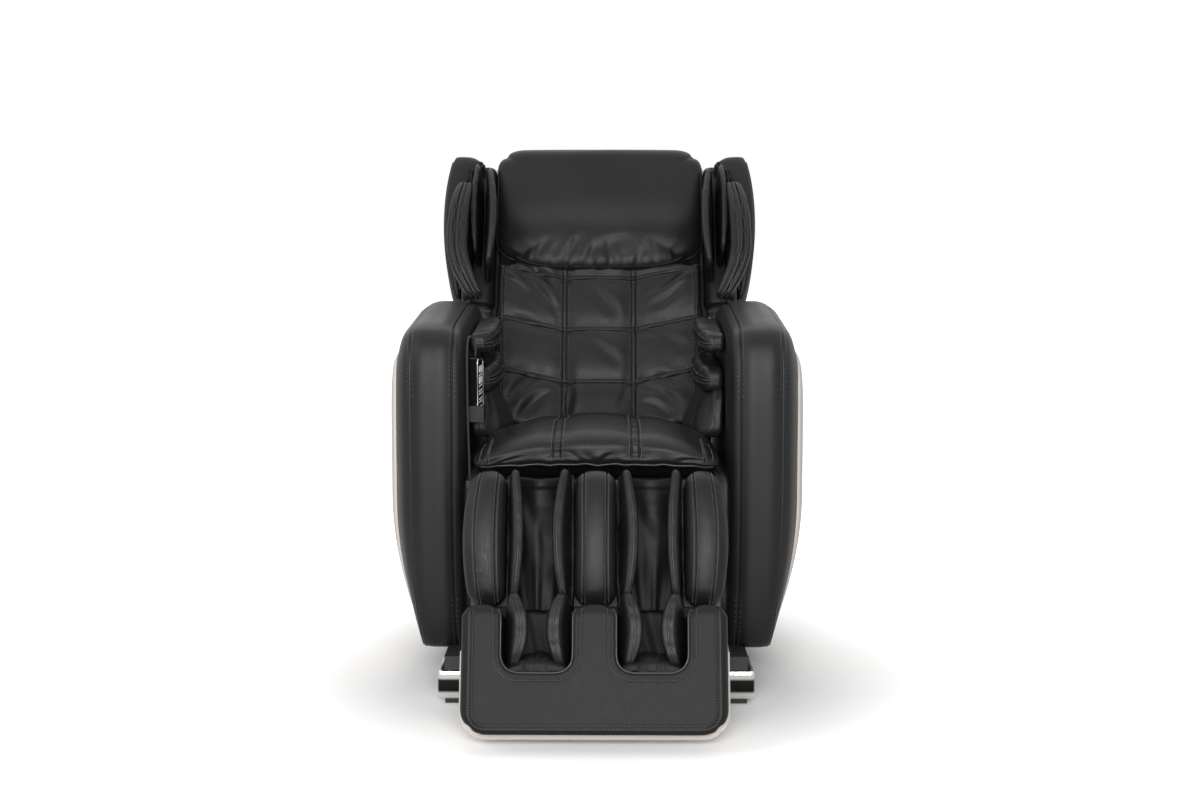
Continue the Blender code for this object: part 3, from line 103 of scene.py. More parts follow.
# %% [markdown]
# ## Building closed, rounded forms
# A cushion starts as a block with round edges, cut into a fine net. Blender has a rounded cube in its add-ons,
# but a few lines of numpy give one whose every point we can still address by its place in the plain block.
# That is what makes sewing easy later: a seam is drawn on the plain block and lands on the finished form.


# %% Rounded blocks
SEAM_STEPS = (-0.0036, -0.0022, -0.0011, 0.0, 0.0011, 0.0022, 0.0036)
SEAM_CLEAR = 0.0046


def lattice(counts):
    """Whole-number points on the surface of a box, and its quads with their faces out."""
    index = {}
    faces = []
    for axis in range(3):
        a, b = [k for k in range(3) if k != axis]
        for side in (0, counts[axis]):
            for u in range(counts[a]):
                for v in range(counts[b]):
                    quad = []
                    for du, dv in ((0, 0), (1, 0), (1, 1), (0, 1)):
                        key = [0, 0, 0]
                        key[axis], key[a], key[b] = side, u + du, v + dv
                        quad.append(index.setdefault(tuple(key), len(index)))
                    faces.append(quad if (side > 0) == (axis != 1) else quad[::-1])
    return np.array(list(index), float), faces


def net_lines(low, high, cell, seams):
    """Even places for the net's lines, with a close set of lines at each seam."""
    spots = list(np.linspace(low, high, max(2, math.ceil((high - low) / cell)) + 1))
    for seam in seams:
        spots = [spot for spot in spots if abs(spot - seam) > SEAM_CLEAR or spot in (low, high)]
        spots += [seam + step for step in SEAM_STEPS]
    return np.array(sorted({round(float(spot), 7) for spot in spots if low <= spot <= high}))


def rounded_block(low, high, radius, cell, seams=((), (), ())):
    """Points and quads of a box with round edges. seams are places along x, y and z with a finer net."""
    lines = [net_lines(low[k], high[k], cell, seams[k]) for k in range(3)]
    keys, faces = lattice([len(line) - 1 for line in lines])
    points = np.stack([lines[k][keys[:, k].astype(int)] for k in range(3)], axis=1)
    low, high = np.array(low, float), np.array(high, float)
    inner = np.clip(points, low + radius, high - radius)
    away = points - inner
    length = np.maximum(np.linalg.norm(away, axis=1, keepdims=True), 1e-9)
    return inner + away * radius / length, faces


print("rounded blocks are ready")

# %% [markdown]
# ## Fades, ribs and ripples
# A cover's relief is drawn with a few small curves: a fade from 0 to 1, a bump, a narrow dip, a sewn rib and an
# uneven wave. Sculpting by hand or a picture for displacement could give the same relief. We chose curves,
# because they stay sharp at any size and come out the same on every run.

# %% Curves for relief
GROOVE_WIDTH, VALLEY_WIDTH = 0.0011, 0.019


def fade(value):
    """The value, held between 0 and 1."""
    return np.clip(value, 0, 1)


def bump(t):
    """1 in the middle of -1..1, falling to 0 at its ends."""
    return fade(1.0 - np.asarray(t) ** 2)


def line_dip(distance, width):
    """1 on a line and 0 a few widths away from it."""
    return np.exp(-((distance / width) ** 2))


def rib(off, half, groove, valley, rise):
    """A sewn rib: it stands up between two thin grooves, at the bottom of a wide valley."""
    off = np.abs(off)
    wide = np.exp(-((np.maximum(off - half, 0.0) / VALLEY_WIDTH) ** 1.6))
    between = rise * bump(off / half) * (off < half)
    return between - groove * line_dip(off - half, GROOVE_WIDTH) - valley * wide


def ripple(along, wave, seed):
    """An uneven wave between -1 and 1, the same on every run."""
    turn = 2 * math.pi * along / wave
    second, third = np.sin(0.618 * turn + 1.7 * seed), np.sin(1.71 * turn + 2.9 * seed)
    return (np.sin(turn + seed) + 0.7 * second + 0.5 * third) / 2.2


print("relief curves are ready")

# %% [markdown]
# ## From points to a piece
# Every piece follows the same path: points become a mesh, the surface is swelled or pressed along its normals,
# the piece gets its material, it is hung on the body it rides on, and the plain solid it stands for is hidden.
# We keep a search tree of each finished surface, because piping and stitches must lie exactly on it.

# %% Make a piece
skins = {}


def unmoved(points):
    return points


def plain_mesh(name, points, faces, material=None):
    """An object with a mesh of these points and faces."""
    mesh = bpy.data.meshes.new(name)
    mesh.from_pydata(np.asarray(points).tolist(), [], [list(face) for face in faces])
    return new_object(name, mesh, material)


def outward(points, faces):
    """The faces of a closed form, turned over if they look inwards, as they do after a mirror."""
    points, total = np.asarray(points), 0.0
    for size in {len(face) for face in faces}:
        corners = points[np.array([face for face in faces if len(face) == size])]
        for k in range(1, size - 1):
            total += np.sum(corners[:, 0] * np.cross(corners[:, k], corners[:, k + 1]))
    return faces if total > 0 else [tuple(face)[::-1] for face in faces]


def make_piece(name, points, faces, material, body, nodes, slot="black_leather", heights=None,
               place=unmoved, sharp=None):
    """A finished piece. heights are in metres along the normals, and place maps plain points onto it."""
    faces = outward(points, faces)
    obj = plain_mesh(name, points, faces, material)
    mesh = obj.data
    if heights is not None:
        normals = np.empty(len(mesh.vertices) * 3, np.float32)
        mesh.vertex_normals.foreach_get("vector", normals)
        points = np.asarray(points) + normals.reshape(-1, 3) * np.asarray(heights)[:, None]
        mesh.vertices.foreach_set("co", points.astype(np.float32).ravel())
        mesh.update()
    mesh.shade_smooth()
    if sharp:
        mesh.set_sharp_from_angle(angle=math.radians(sharp))
    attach(obj, body)
    if nodes:
        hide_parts(*nodes)
    tree = BVHTree.FromPolygons([tuple(point) for point in points], [tuple(face) for face in faces])
    skins[name] = (tree, place, body, slot)


def cushion(name, low, high, radius, cell, form, place, material, body, nodes, heights=None,
            seams=((), (), ())):
    """A padded piece: a rounded block, shaped by form, pressed by heights, and put in its place."""
    plain, faces = rounded_block(low, high, radius, cell, seams)
    shaped = place(form(plain))
    lift = heights(plain) if heights else None
    make_piece(name, shaped, faces, material, body, nodes, "black_leather", lift,
               lambda points: place(form(points)))
    print(name, len(faces), "faces")


print("piece builder is ready")

# %% [markdown]
# ## Paths on a finished surface
# A seam is a straight line on the plain block. To sew it, we send the line through the same form as the
# cushion, and drop it onto the nearest point of the finished surface. Blender's shrinkwrap could do that too,
# but here we also need the normals, so that each stitch lies flat.


# %% Lay a path on a surface
def on_skin(name, path, lift):
    """A path drawn on the plain block, laid on the finished surface, with its normals."""
    tree, place, _, _ = skins[name]
    spots, normals = [], []
    for point in place(np.asarray(path, float)):
        spot, normal, _, _ = tree.find_nearest(Vector(point))
        spots.append(np.array(spot) + np.array(normal) * lift)
        normals.append(np.array(normal))
    return np.array(spots), np.array(normals)


def resample(path, step):
    """Points at an even spacing along a path."""
    path = np.asarray(path, float)
    gaps = np.linalg.norm(np.diff(path, axis=0), axis=1)
    reach = np.concatenate([[0.0], np.cumsum(gaps)])
    marks = np.linspace(0.0, reach[-1], max(2, int(round(reach[-1] / step)) + 1))
    return np.stack([np.interp(marks, reach, path[:, k]) for k in range(path.shape[1])], axis=1)


print("path helpers are ready")

# %% [markdown]
# ## Piping and stitches
# The covers are finished with thin piping and with rows of thread. Piping is a curve with a round bevel.
# A stitch is a tiny spindle that dips into the leather at both ends, so that a row of them reads as thread
# from close by and as a fine dotted line from a step away. All the stitches of one piece are one mesh.

# %% Piping and stitch rows
STITCH_PITCH = 0.0052
STITCH_LENGTH = 0.0040
THREAD = 0.00075
PIPING_STEP = 0.008
SLIM_PIPE, PAD_PIPE, WING_PIPE, HEM_PIPE, SEAT_PIPE = 0.0017, 0.0019, 0.0021, 0.0022, 0.0026
PAD_ROW_OFF = 0.0062


def sew_on(obj, owner):
    """Puts piping or stitches on the owner's body."""
    _, _, body, slot = skins[owner]
    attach(obj, body)


def piping(name, owner, paths, radius, material, lift):
    """Piping along paths on the owner's plain block. lift is the share of its radius by which it stands off."""
    curve = bpy.data.curves.new(name, "CURVE")
    curve.dimensions = "3D"
    curve.bevel_depth = radius
    curve.bevel_resolution = 2
    curve.use_fill_caps = True
    for path in paths:
        spots, _ = on_skin(owner, resample(path, PIPING_STEP), radius * lift)
        spline = curve.splines.new("POLY")
        spline.points.add(len(spots) - 1)
        for point, at in zip(spline.points, spots):
            point.co = (*at, 1.0)
    sew_on(new_object(name, curve, material), owner)


def stitches(name, owner, paths, material):
    """Rows of stitches along paths on the owner's plain block."""
    points, faces = [], []
    for path in paths:
        spots, normals = on_skin(owner, resample(path, STITCH_PITCH), THREAD * 0.5)
        for k in range(len(spots) - 1):
            run = spots[k + 1] - spots[k]
            length = np.linalg.norm(run)
            if length < 0.3 * STITCH_PITCH or length > 2.5 * STITCH_PITCH:
                continue
            run /= length
            up = normals[k]
            side = np.cross(run, up)
            middle = (spots[k] + spots[k + 1]) / 2
            base = len(points)
            half = STITCH_LENGTH / 2
            points += [middle - run * half - up * THREAD, middle + run * half - up * THREAD]
            points += [middle + up * THREAD, middle + side * THREAD]
            points += [middle - up * THREAD, middle - side * THREAD]
            for a in range(4):
                b = (a + 1) % 4
                faces += [(base, base + 2 + a, base + 2 + b), (base + 1, base + 2 + b, base + 2 + a)]
    obj = plain_mesh(name, points, faces, material)
    obj.data.shade_smooth()
    sew_on(obj, owner)
    print(name, len(points) // 6, "stitches")


def beside(path, across, distance):
    """The same path, moved to both sides."""
    path = np.asarray(path, float)
    shift = np.array(across, float) * distance
    return [path - shift, path + shift]


print("sewing helpers are ready")

# %% [markdown]
# ## Shared surface effects
# Three effects turn up in almost every finish: a grain of small cells, slow clouds that vary gloss and tone,
# and fine dust or scuffs on what faces up. Each is a node group with named inputs, built once. The groups give
# only masks, values and heights. The shader itself stays in each material, where other programs can read it.

# %% Node groups
def new_group(name, places, values, result):
    """A group with vector inputs, number inputs at their usual values, and one output."""
    group = bpy.data.node_groups.new(name, "ShaderNodeTree")
    for label in places:
        group.interface.new_socket(name=label, in_out="INPUT", socket_type="NodeSocketVector")
    for label, value in values.items():
        socket = group.interface.new_socket(name=label, in_out="INPUT", socket_type="NodeSocketFloat")
        socket.default_value = value
    group.interface.new_socket(name=result, in_out="OUTPUT", socket_type="NodeSocketFloat")
    entry, leave = group.nodes.new("NodeGroupInput"), group.nodes.new("NodeGroupOutput")
    return group, entry.outputs, leave.inputs[result]


def feed(tree, socket, value):
    """Links the socket to another one, or sets it to a plain value."""
    if isinstance(value, bpy.types.NodeSocket):
        tree.links.new(value, socket)
    else:
        socket.default_value = value


def add_node(tree, kind, inputs=(), **settings):
    """A new node with its settings, and with its inputs linked or set."""
    node = tree.nodes.new(kind)
    for key, value in settings.items():
        setattr(node, key, value)
    for key, value in dict(inputs).items():
        feed(tree, node.inputs[key], value)
    return node


def maths(tree, operation, a, b, **settings):
    return add_node(tree, "ShaderNodeMath", {0: a, 1: b}, operation=operation, **settings).outputs[0]


grain_group, entry, height = new_group("pebble_grain", ["Vector"], {"Scale": 700.0, "Crease": 0.5}, "Height")
cells = add_node(grain_group, "ShaderNodeTexVoronoi", {"Vector": entry["Vector"], "Scale": entry["Scale"]},
                 feature="DISTANCE_TO_EDGE")
fine_scale = maths(grain_group, "MULTIPLY", entry["Scale"], 0.12)
fine = add_node(grain_group, "ShaderNodeTexNoise",
                {"Vector": entry["Vector"], "Scale": fine_scale, "Detail": 4.0})
cell_height = maths(grain_group, "MINIMUM", cells.outputs["Distance"], 0.3)
fold_height = maths(grain_group, "MULTIPLY", fine.outputs["Fac"], entry["Crease"])
feed(grain_group, height, maths(grain_group, "ADD", cell_height, fold_height))

cloud_group, entry, mask = new_group("slow_clouds", ["Vector"], {"Scale": 6.0, "Contrast": 1.0}, "Mask")
clouds = add_node(cloud_group, "ShaderNodeTexNoise",
                  {"Vector": entry["Vector"], "Scale": entry["Scale"], "Detail": 6.0, "Roughness": 0.62})
centred = maths(cloud_group, "SUBTRACT", clouds.outputs["Fac"], 0.5)
stretched = maths(cloud_group, "MULTIPLY", centred, entry["Contrast"])
feed(cloud_group, mask, maths(cloud_group, "ADD", stretched, 0.5, use_clamp=True))

dust_group, entry, mask = new_group("settled_dust", ["Vector", "Normal"], {"Scale": 60.0}, "Mask")
specks = add_node(dust_group, "ShaderNodeTexNoise",
                  {"Vector": entry["Vector"], "Scale": entry["Scale"], "Detail": 8.0})
split = add_node(dust_group, "ShaderNodeSeparateXYZ", {"Vector": entry["Normal"]})
upward = maths(dust_group, "MAXIMUM", split.outputs["Z"], 0.0)
feed(dust_group, mask, maths(dust_group, "MULTIPLY", specks.outputs["Fac"], upward))
print("groups", [group.name for group in bpy.data.node_groups])

# %% [markdown]
# ## Finishes
# One function makes every opaque finish. The base colour and the gloss drift a little over the surface with
# the slow clouds, the grain gives the bump, and dust lifts the tone on top. Black leather is nearly black in
# itself: what we see of it is mostly the soft reflection of the studio, so its roughness matters most.


# %% One recipe for every finish
DUST, DUST_SCALE = 0.012, 90.0
DUST_TONE = (0.30, 0.29, 0.27)


def mix_colour(tree, mask, first, second, **settings):
    """A mix of two colours, each a socket or three numbers. Input 0 is the mask, 6 and 7 are the colours."""
    first, second = [(*tone, 1.0) if isinstance(tone, tuple) else tone for tone in (first, second)]
    mix = add_node(tree, "ShaderNodeMix", {0: mask, 6: first, 7: second}, data_type="RGBA", **settings)
    return mix.outputs[2]


def finish(name, tones, gloss, grain, bump_depth, metallic=0.0, clouds=(6.0, 1.6), specular=0.5):
    """tones: two colours that drift into each other. gloss: two roughness values that do the same."""
    material = bpy.data.materials.new(name)
    material.use_nodes = True
    tree = material.node_tree
    place = add_node(tree, "ShaderNodeTexCoord").outputs["Object"]
    facing = add_node(tree, "ShaderNodeNewGeometry").outputs["Normal"]
    drift = add_node(tree, "ShaderNodeGroup", {"Vector": place, "Scale": clouds[0], "Contrast": clouds[1]},
                     node_tree=cloud_group).outputs["Mask"]
    dust = add_node(tree, "ShaderNodeGroup", {"Vector": place, "Normal": facing, "Scale": DUST_SCALE},
                    node_tree=dust_group).outputs["Mask"]
    pebbles = add_node(tree, "ShaderNodeGroup", {"Vector": place, "Scale": grain[0], "Crease": grain[1]},
                       node_tree=grain_group).outputs["Height"]
    tone = mix_colour(tree, drift, *tones)
    rough = add_node(tree, "ShaderNodeMapRange", {"Value": drift, "To Min": gloss[0], "To Max": gloss[1]})
    relief = add_node(tree, "ShaderNodeBump", {"Height": pebbles, "Distance": bump_depth})
    for socket, value in (
        ("Base Color", mix_colour(tree, maths(tree, "MULTIPLY", dust, DUST), tone, DUST_TONE)),
        ("Roughness", rough.outputs[0]), ("Normal", relief.outputs["Normal"]),
        ("Metallic", metallic), ("Specular IOR Level", specular),
    ):
        feed(tree, tree.nodes["Principled BSDF"].inputs[socket], value)
    return material


print("finish recipe is ready")

# %% [markdown]
# ## The chair's own finishes
# The leathers differ in gloss and grain: stiff panels, soft cushions, the foot section and the piping. The
# metals have little grain, the plastics are rougher, and the shell is a warm pale grey. Pictures of leather
# would fit one size only, so every finish is made from noise, and its tones were judged.

# %% Materials
leather = finish("black_leather", ((0.0075, 0.0075, 0.0078), (0.0120, 0.0118, 0.0120)), (0.34, 0.44),
                 grain=(620.0, 0.5), bump_depth=0.00035, specular=0.21)
soft_leather = finish("soft_black_leather", ((0.0075, 0.0075, 0.0079), (0.0120, 0.0118, 0.0120)), (0.25, 0.34),
                      grain=(700.0, 0.6), bump_depth=0.00040, specular=0.21)
foot_leather = finish("foot_black_leather", ((0.0075, 0.0075, 0.0078), (0.0110, 0.0109, 0.0110)), (0.38, 0.48),
                      grain=(620.0, 0.5), bump_depth=0.00035, specular=0.13)
liner_cloth = finish("black_liner", ((0.0045, 0.0045, 0.0048), (0.0080, 0.0080, 0.0082)), (0.34, 0.46),
                     grain=(1500.0, 0.3), bump_depth=0.00020, specular=0.13)
pipe_leather = finish("black_piping", ((0.0100, 0.0100, 0.0104), (0.0170, 0.0170, 0.0170)), (0.24, 0.32),
                      grain=(900.0, 0.3), bump_depth=0.00015, specular=0.35)
thread = finish("grey_thread", ((0.1000, 0.0985, 0.0965), (0.1500, 0.1480, 0.1450)), (0.50, 0.62),
                grain=(2600.0, 0.2), bump_depth=0.00012)
greige = finish("greige_shell", ((0.540, 0.492, 0.453), (0.585, 0.534, 0.491)), (0.36, 0.46),
                grain=(1100.0, 0.25), bump_depth=0.00008, clouds=(4.0, 1.0))
steel_black = finish("powder_coated_steel", ((0.0120, 0.0120, 0.0125), (0.0200, 0.0200, 0.0205)), (0.42, 0.58),
                     grain=(1300.0, 0.8), bump_depth=0.00018)
plastic_black = finish("textured_black_plastic", ((0.0110, 0.0110, 0.0115), (0.0180, 0.0180, 0.0185)),
                       (0.46, 0.60), grain=(1600.0, 0.5), bump_depth=0.00010)
piano_black = finish("piano_black", ((0.0035, 0.0035, 0.0038), (0.0060, 0.0060, 0.0062)), (0.12, 0.20),
                     grain=(300.0, 0.1), bump_depth=0.00001, specular=0.10)
ground_steel = finish("ground_steel", ((0.500, 0.500, 0.510), (0.580, 0.575, 0.570)), (0.24, 0.38),
                      metallic=1.0, grain=(1800.0, 0.6), bump_depth=0.00005, clouds=(14.0, 1.8))
wheel_rubber = finish("wheel_rubber", ((0.0120, 0.0120, 0.0120), (0.0210, 0.0205, 0.0200)), (0.68, 0.86),
                      grain=(900.0, 0.8), bump_depth=0.00020)
key_white = finish("key_white", ((0.640, 0.640, 0.630), (0.700, 0.700, 0.690)), (0.34, 0.46),
                   grain=(1500.0, 0.2), bump_depth=0.00004)
chrome = finish("polished_chrome", ((0.740, 0.730, 0.710), (0.800, 0.790, 0.770)), (0.05, 0.11),
                metallic=1.0, grain=(240.0, 0.3), bump_depth=0.00002, clouds=(9.0, 2.0))
print("materials", len(bpy.data.materials))

# %% [markdown]
# ## Frames of reference
# The backrest leans back 25 degrees on its pivot, and the leg rest hangs from its own hinge with its lower end
# 20 degrees forward. Inside such a part it is far easier to think along it and square to it. So we shape those
# pieces upright, and one function turns and moves the points to where the frame has them.

# %% Tilted places
RECLINE = 25.0
BACK_PIVOT = (0.185, 0.380)
LEG_TILT = 20.0
LEG_PIVOT = (-0.370, 0.440)


def tilted(degrees, pivot, shift=(0.0, 0.0)):
    """Points given along a tilted part, taken to the chair's frame. shift is a further (y, z) in the part."""
    cosine, sine = math.cos(math.radians(degrees)), math.sin(math.radians(degrees))

    def place(points):
        x, y, z = points[:, 0], points[:, 1] + shift[0], points[:, 2] + shift[1]
        return np.stack([x, pivot[0] + y * cosine + z * sine, pivot[1] - y * sine + z * cosine], axis=1)

    return place


in_back = tilted(RECLINE, BACK_PIVOT)
in_leg = tilted(LEG_TILT, LEG_PIVOT)
SIDES = (("left", -1.0), ("right", 1.0))
print("back pivot", BACK_PIVOT, "leg pivot", LEG_PIVOT)

# %% [markdown]
# ## Creases
# Leather that is pulled over foam makes soft diagonal creases between its seams. Cloth simulation would find
# some, but not where the real cover has them. So each crease is a short line on the cushion: a shallow valley
# with a ridge beside it that fades out at both ends.


# %% Creases and puckers
def crease(u, v, row, wider, deeper):
    """Height of one crease in the plane of two coordinates. The row is a start, an end, a width and a depth."""
    start_u, start_v, end_u, end_v, width, depth = row
    width, depth = wider * width, deeper * depth
    run = (end_u - start_u, end_v - start_v)
    length = math.hypot(*run)
    along = ((u - start_u) * run[0] + (v - start_v) * run[1]) / length ** 2
    off = ((v - start_v) * run[0] - (u - start_u) * run[1]) / length
    off = off + 0.25 * length * (along - 0.5) ** 2
    ends = np.exp(-((np.abs(along - 0.5) / 0.46) ** 4))
    return depth * ends * (0.7 * line_dip(off - 1.9 * width, 1.3 * width) - line_dip(off, width))


def creases(u, v, rows, wider=1.0, deeper=1.0):
    return sum(crease(u, v, row, wider, deeper) for row in rows)


def puckers(distance, along, reach, wave, depth, seed):
    """Small folds that run square to a seam and die out a little way from it."""
    return depth * np.exp(-np.abs(distance) / reach) * ripple(along, wave, seed)


print("creases are ready")

# %% [markdown]
# ## Seat cushion
# The seat is one fat roll of foam under leather, with two flat welts sewn from front to back. Between them the
# leather stands up in a crown. Its front hangs over the frame's edge, where it is drawn tight to a piped hem,
# and that is where the small vertical puckers come from.

# %% Seat cushion
SEAT_HALF = 0.250
SEAT_FRONT, SEAT_BACK = -0.360, 0.176
SEAT_BOTTOM, SEAT_CREST = 0.440, 0.558
SEAT_ROLL_LIFT = 0.034
SEAT_WELT = 0.0785
END_WELT = 0.2255
WELT_HALF = 0.0082
SEAT_ROW_OFF = 0.0022


def seat_form(points):
    x, y, z = points.T
    share = (z - SEAT_BOTTOM) / (SEAT_CREST - SEAT_BOTTOM)
    side = fade(np.abs(x) / SEAT_HALF)
    full = SEAT_FRONT + 0.170
    behind = fade((y - full) / (SEAT_BACK - full))
    front = fade((full - y) / (full - SEAT_FRONT))
    fall = 0.050 * side ** 2.7 + 0.024 * front ** 2 + 0.036 * behind ** 0.8 * (1 + 0.25 * side ** 2)
    lift = SEAT_ROLL_LIFT / (1 + np.exp((y - SEAT_FRONT - 0.085) / 0.010))
    along = 2 * (y - SEAT_FRONT) / (SEAT_BACK - SEAT_FRONT) - 1
    top = SEAT_CREST + 0.004 - fall
    floor = SEAT_BOTTOM + lift
    x = x * (1 - 0.015 * bump(along))
    return np.stack([x, y + 0.005 * front ** 3, floor + share * (top - floor)], axis=1)


SEAT_CREASES = (
    (-0.200, 0.475, -0.150, 0.500, 0.006, 0.0026), (-0.030, 0.470, -0.058, 0.505, 0.006, 0.0022),
    (0.010, 0.468, 0.028, 0.500, 0.007, 0.0026), (-0.005, 0.470, -0.025, 0.498, 0.005, 0.0018),
    (0.160, 0.478, 0.205, 0.505, 0.007, 0.0020), (-0.225, 0.480, -0.200, 0.506, 0.005, 0.0018),
)


def seat_heights(points):
    x, y, z = points.T
    above = fade((z - SEAT_BOTTOM - 0.035) / 0.02)
    height = np.zeros(len(points))
    for sign in (-1, 1):
        off = np.abs(x - sign * SEAT_WELT)
        height += above * rib(off, WELT_HALF, 0.0026, 0.0060, 0.0016)
        height += above * puckers(np.maximum(off - WELT_HALF, 0), y + z, 0.010, 0.031, 0.0010, 2.0 + sign)
        near = above * fade((SEAT_FRONT + 0.11 - y) / 0.02)
        height += near * rib(np.abs(x - sign * END_WELT), WELT_HALF, 0.0030, 0.0026, 0.0008)
    hem = fade((SEAT_FRONT + 0.03 - y) / 0.02)
    hem = hem * np.exp(-fade(z - SEAT_BOTTOM - 0.012) / 0.030)
    height += hem * 0.0034 * ripple(x, 0.052, 0.7) * bump(x / 0.24)
    return height + fade((SEAT_FRONT + 0.06 - y) / 0.03) * creases(x, z, SEAT_CREASES)


def both_sides(*places):
    return [sign * place for sign in (-1, 1) for place in places]


seat_seams = both_sides(SEAT_WELT - WELT_HALF, SEAT_WELT + WELT_HALF)
seat_seams += both_sides(END_WELT - WELT_HALF, END_WELT + WELT_HALF)
cushion("seat_cover", (-SEAT_HALF, SEAT_FRONT, SEAT_BOTTOM), (SEAT_HALF, SEAT_BACK, SEAT_CREST), 0.042, 0.0058,
        seat_form, unmoved, soft_leather, "base", ("seat_cushion",), seat_heights, (seat_seams, (), ()))

# %% [markdown]
# ### Its piping and thread
# The piped hem runs round the front, low on the cushion. Beside every welt lies a row of thread. Both could be
# drawn in a bump picture, but as real forms they catch the light, and they stay crisp from close by.

# %% Seat piping and stitches
front_line = SEAT_FRONT - 0.002
hem_z = SEAT_BOTTOM + 0.008
hem_half = ((0.246, 0.160), (0.246, 0.050), (0.232, 0.016), (0.200, 0.004))
hem = [(-x, SEAT_FRONT + y, hem_z) for x, y in hem_half]
hem += [(x, SEAT_FRONT + y, hem_z) for x, y in hem_half[::-1]]
piping("seat_piping", "seat_cover", [hem], SEAT_PIPE, pipe_leather, 0.6)

seat_rows = []
for sign in (-1, 1):
    for welt, rear in ((SEAT_WELT, 0.150), (END_WELT, SEAT_FRONT + 0.100)):
        row = [(sign * welt, front_line, SEAT_BOTTOM + 0.030), (sign * welt, front_line, SEAT_CREST - 0.03),
               (sign * welt, SEAT_FRONT + 0.03, SEAT_CREST), (sign * welt, rear, SEAT_CREST)]
        seat_rows += beside(row, (1, 0, 0), WELT_HALF + SEAT_ROW_OFF)
stitches("seat_stitches", "seat_cover", seat_rows, thread)

# %% [markdown]
# ## Quilted back
# The back cover is a grid of cells between flat double-stitched welts. The two upright welts run straight and
# the cross welts rise towards the sides. The outer columns come forward round the sitter. Each cell swells
# between its welts and carries creases that were read off the photograph, cell by cell.

# %% Quilted back cushion
BACK_HALF = 0.239
BACK_FRONT, BACK_REAR = -0.044, 0.020
BACK_START, BACK_TOP = 0.104, 0.800
BACK_WELT = 0.081
SIDE_WELT = 0.2290
LEDGE = 0.507
LEDGE_FRONT = -0.006
CROSS_WELTS = (0.211, 0.341, 0.471)
CROSS_RISE, RISE_END = 0.030, 0.620
UPRIGHT_HALF, CROSS_HALF, SIDE_HALF = 0.0060, 0.0050, 0.0050
BACK_ROW_OFF = 0.0020


def cross_rise(x, z):
    """How much higher the cover's net lies at x than in the middle. It is level again at both ends."""
    side = fade((np.abs(x) - BACK_WELT) / (BACK_HALF - BACK_WELT))
    low = fade((z - BACK_START) / (CROSS_WELTS[0] - BACK_START))
    high = fade((RISE_END - z) / (RISE_END - CROSS_WELTS[2]))
    return CROSS_RISE * side * low * high


def round_corner(x, z, corner, radius):
    """Slides the points of a square at a corner onto arcs round its inner point."""
    dx = np.clip((np.abs(x) - corner[0] + radius[0]) / radius[0], 0, None)
    toward = 1.0 if corner[1] > corner[2] else -1.0
    dz = np.clip((toward * (z - corner[1]) + radius[1]) / radius[1], 0, None)
    length = np.maximum(np.hypot(dx, dz), 1e-9)
    shrink = np.maximum(dx, dz) / length
    both = (dx > 0) & (dz > 0)
    nx = np.where(both, np.sign(x) * (corner[0] - radius[0] + dx * shrink * radius[0]), x)
    nz = np.where(both, corner[1] + toward * (dz * shrink * radius[1] - radius[1]), z)
    return nx, nz


def back_form(points):
    x, y, z = points.T
    x, z = round_corner(x, z, (BACK_HALF, BACK_TOP, BACK_START), (0.050, 0.042))
    share = (BACK_REAR - y) / (BACK_REAR - BACK_FRONT)
    wrap = fade(np.abs(x) / BACK_HALF - 0.62) / 0.38
    z = z + cross_rise(x, z)
    step = 1 / (1 + np.exp(-(z - LEDGE - 0.006) / 0.004))
    front = (BACK_FRONT - 0.020 * wrap ** 1.5) * (1 - step) + LEDGE_FRONT * step
    return np.stack([x, BACK_REAR - share * (BACK_REAR - front), z], axis=1)


BACK_CREASES = (
    (-0.215, 0.487, -0.095, 0.385, 0.010, 0.0042), (-0.180, 0.500, -0.092, 0.440, 0.009, 0.0036),
    (-0.222, 0.445, -0.160, 0.410, 0.008, 0.0026), (-0.040, 0.470, 0.045, 0.375, 0.011, 0.0036),
    (0.215, 0.480, 0.110, 0.420, 0.010, 0.0036), (0.205, 0.430, 0.130, 0.382, 0.009, 0.0024),
    (-0.210, 0.350, -0.120, 0.330, 0.009, 0.0022), (-0.045, 0.335, 0.050, 0.255, 0.011, 0.0026),
    (0.100, 0.345, 0.205, 0.270, 0.010, 0.0024), (-0.215, 0.150, -0.150, 0.215, 0.010, 0.0044),
    (-0.190, 0.118, -0.110, 0.190, 0.010, 0.0040), (0.095, 0.205, 0.190, 0.140, 0.010, 0.0044),
    (0.105, 0.165, 0.180, 0.118, 0.009, 0.0034), (0.120, 0.225, 0.215, 0.175, 0.008, 0.0030),
    (-0.060, 0.200, -0.072, 0.130, 0.007, 0.0024), (0.066, 0.200, 0.050, 0.150, 0.007, 0.0022),
)


def back_heights(points):
    x, y, z = points.T
    face = fade((BACK_FRONT + 0.018 - y) / 0.012) * fade((LEDGE - z) / 0.006)
    height = 0.0052 * face
    for sign in (-1, 1):
        for welt, half in ((BACK_WELT, UPRIGHT_HALF), (SIDE_WELT, SIDE_HALF)):
            off = np.abs(x - sign * welt)
            height += face * rib(off, half, 0.0020, 0.0074, 0.0026)
            height += face * puckers(np.maximum(off - half, 0), z, 0.011, 0.021, 0.0011, sign + 9 * welt)
    for row in CROSS_WELTS:
        off = np.abs(z - row)
        height += face * rib(off, CROSS_HALF, 0.0018, 0.0070, 0.0026)
        height += face * puckers(np.maximum(off - CROSS_HALF, 0), x, 0.010, 0.026, 0.0008, 7 * row)
    return height + face * creases(x, z, BACK_CREASES, 1.15, 1.5)


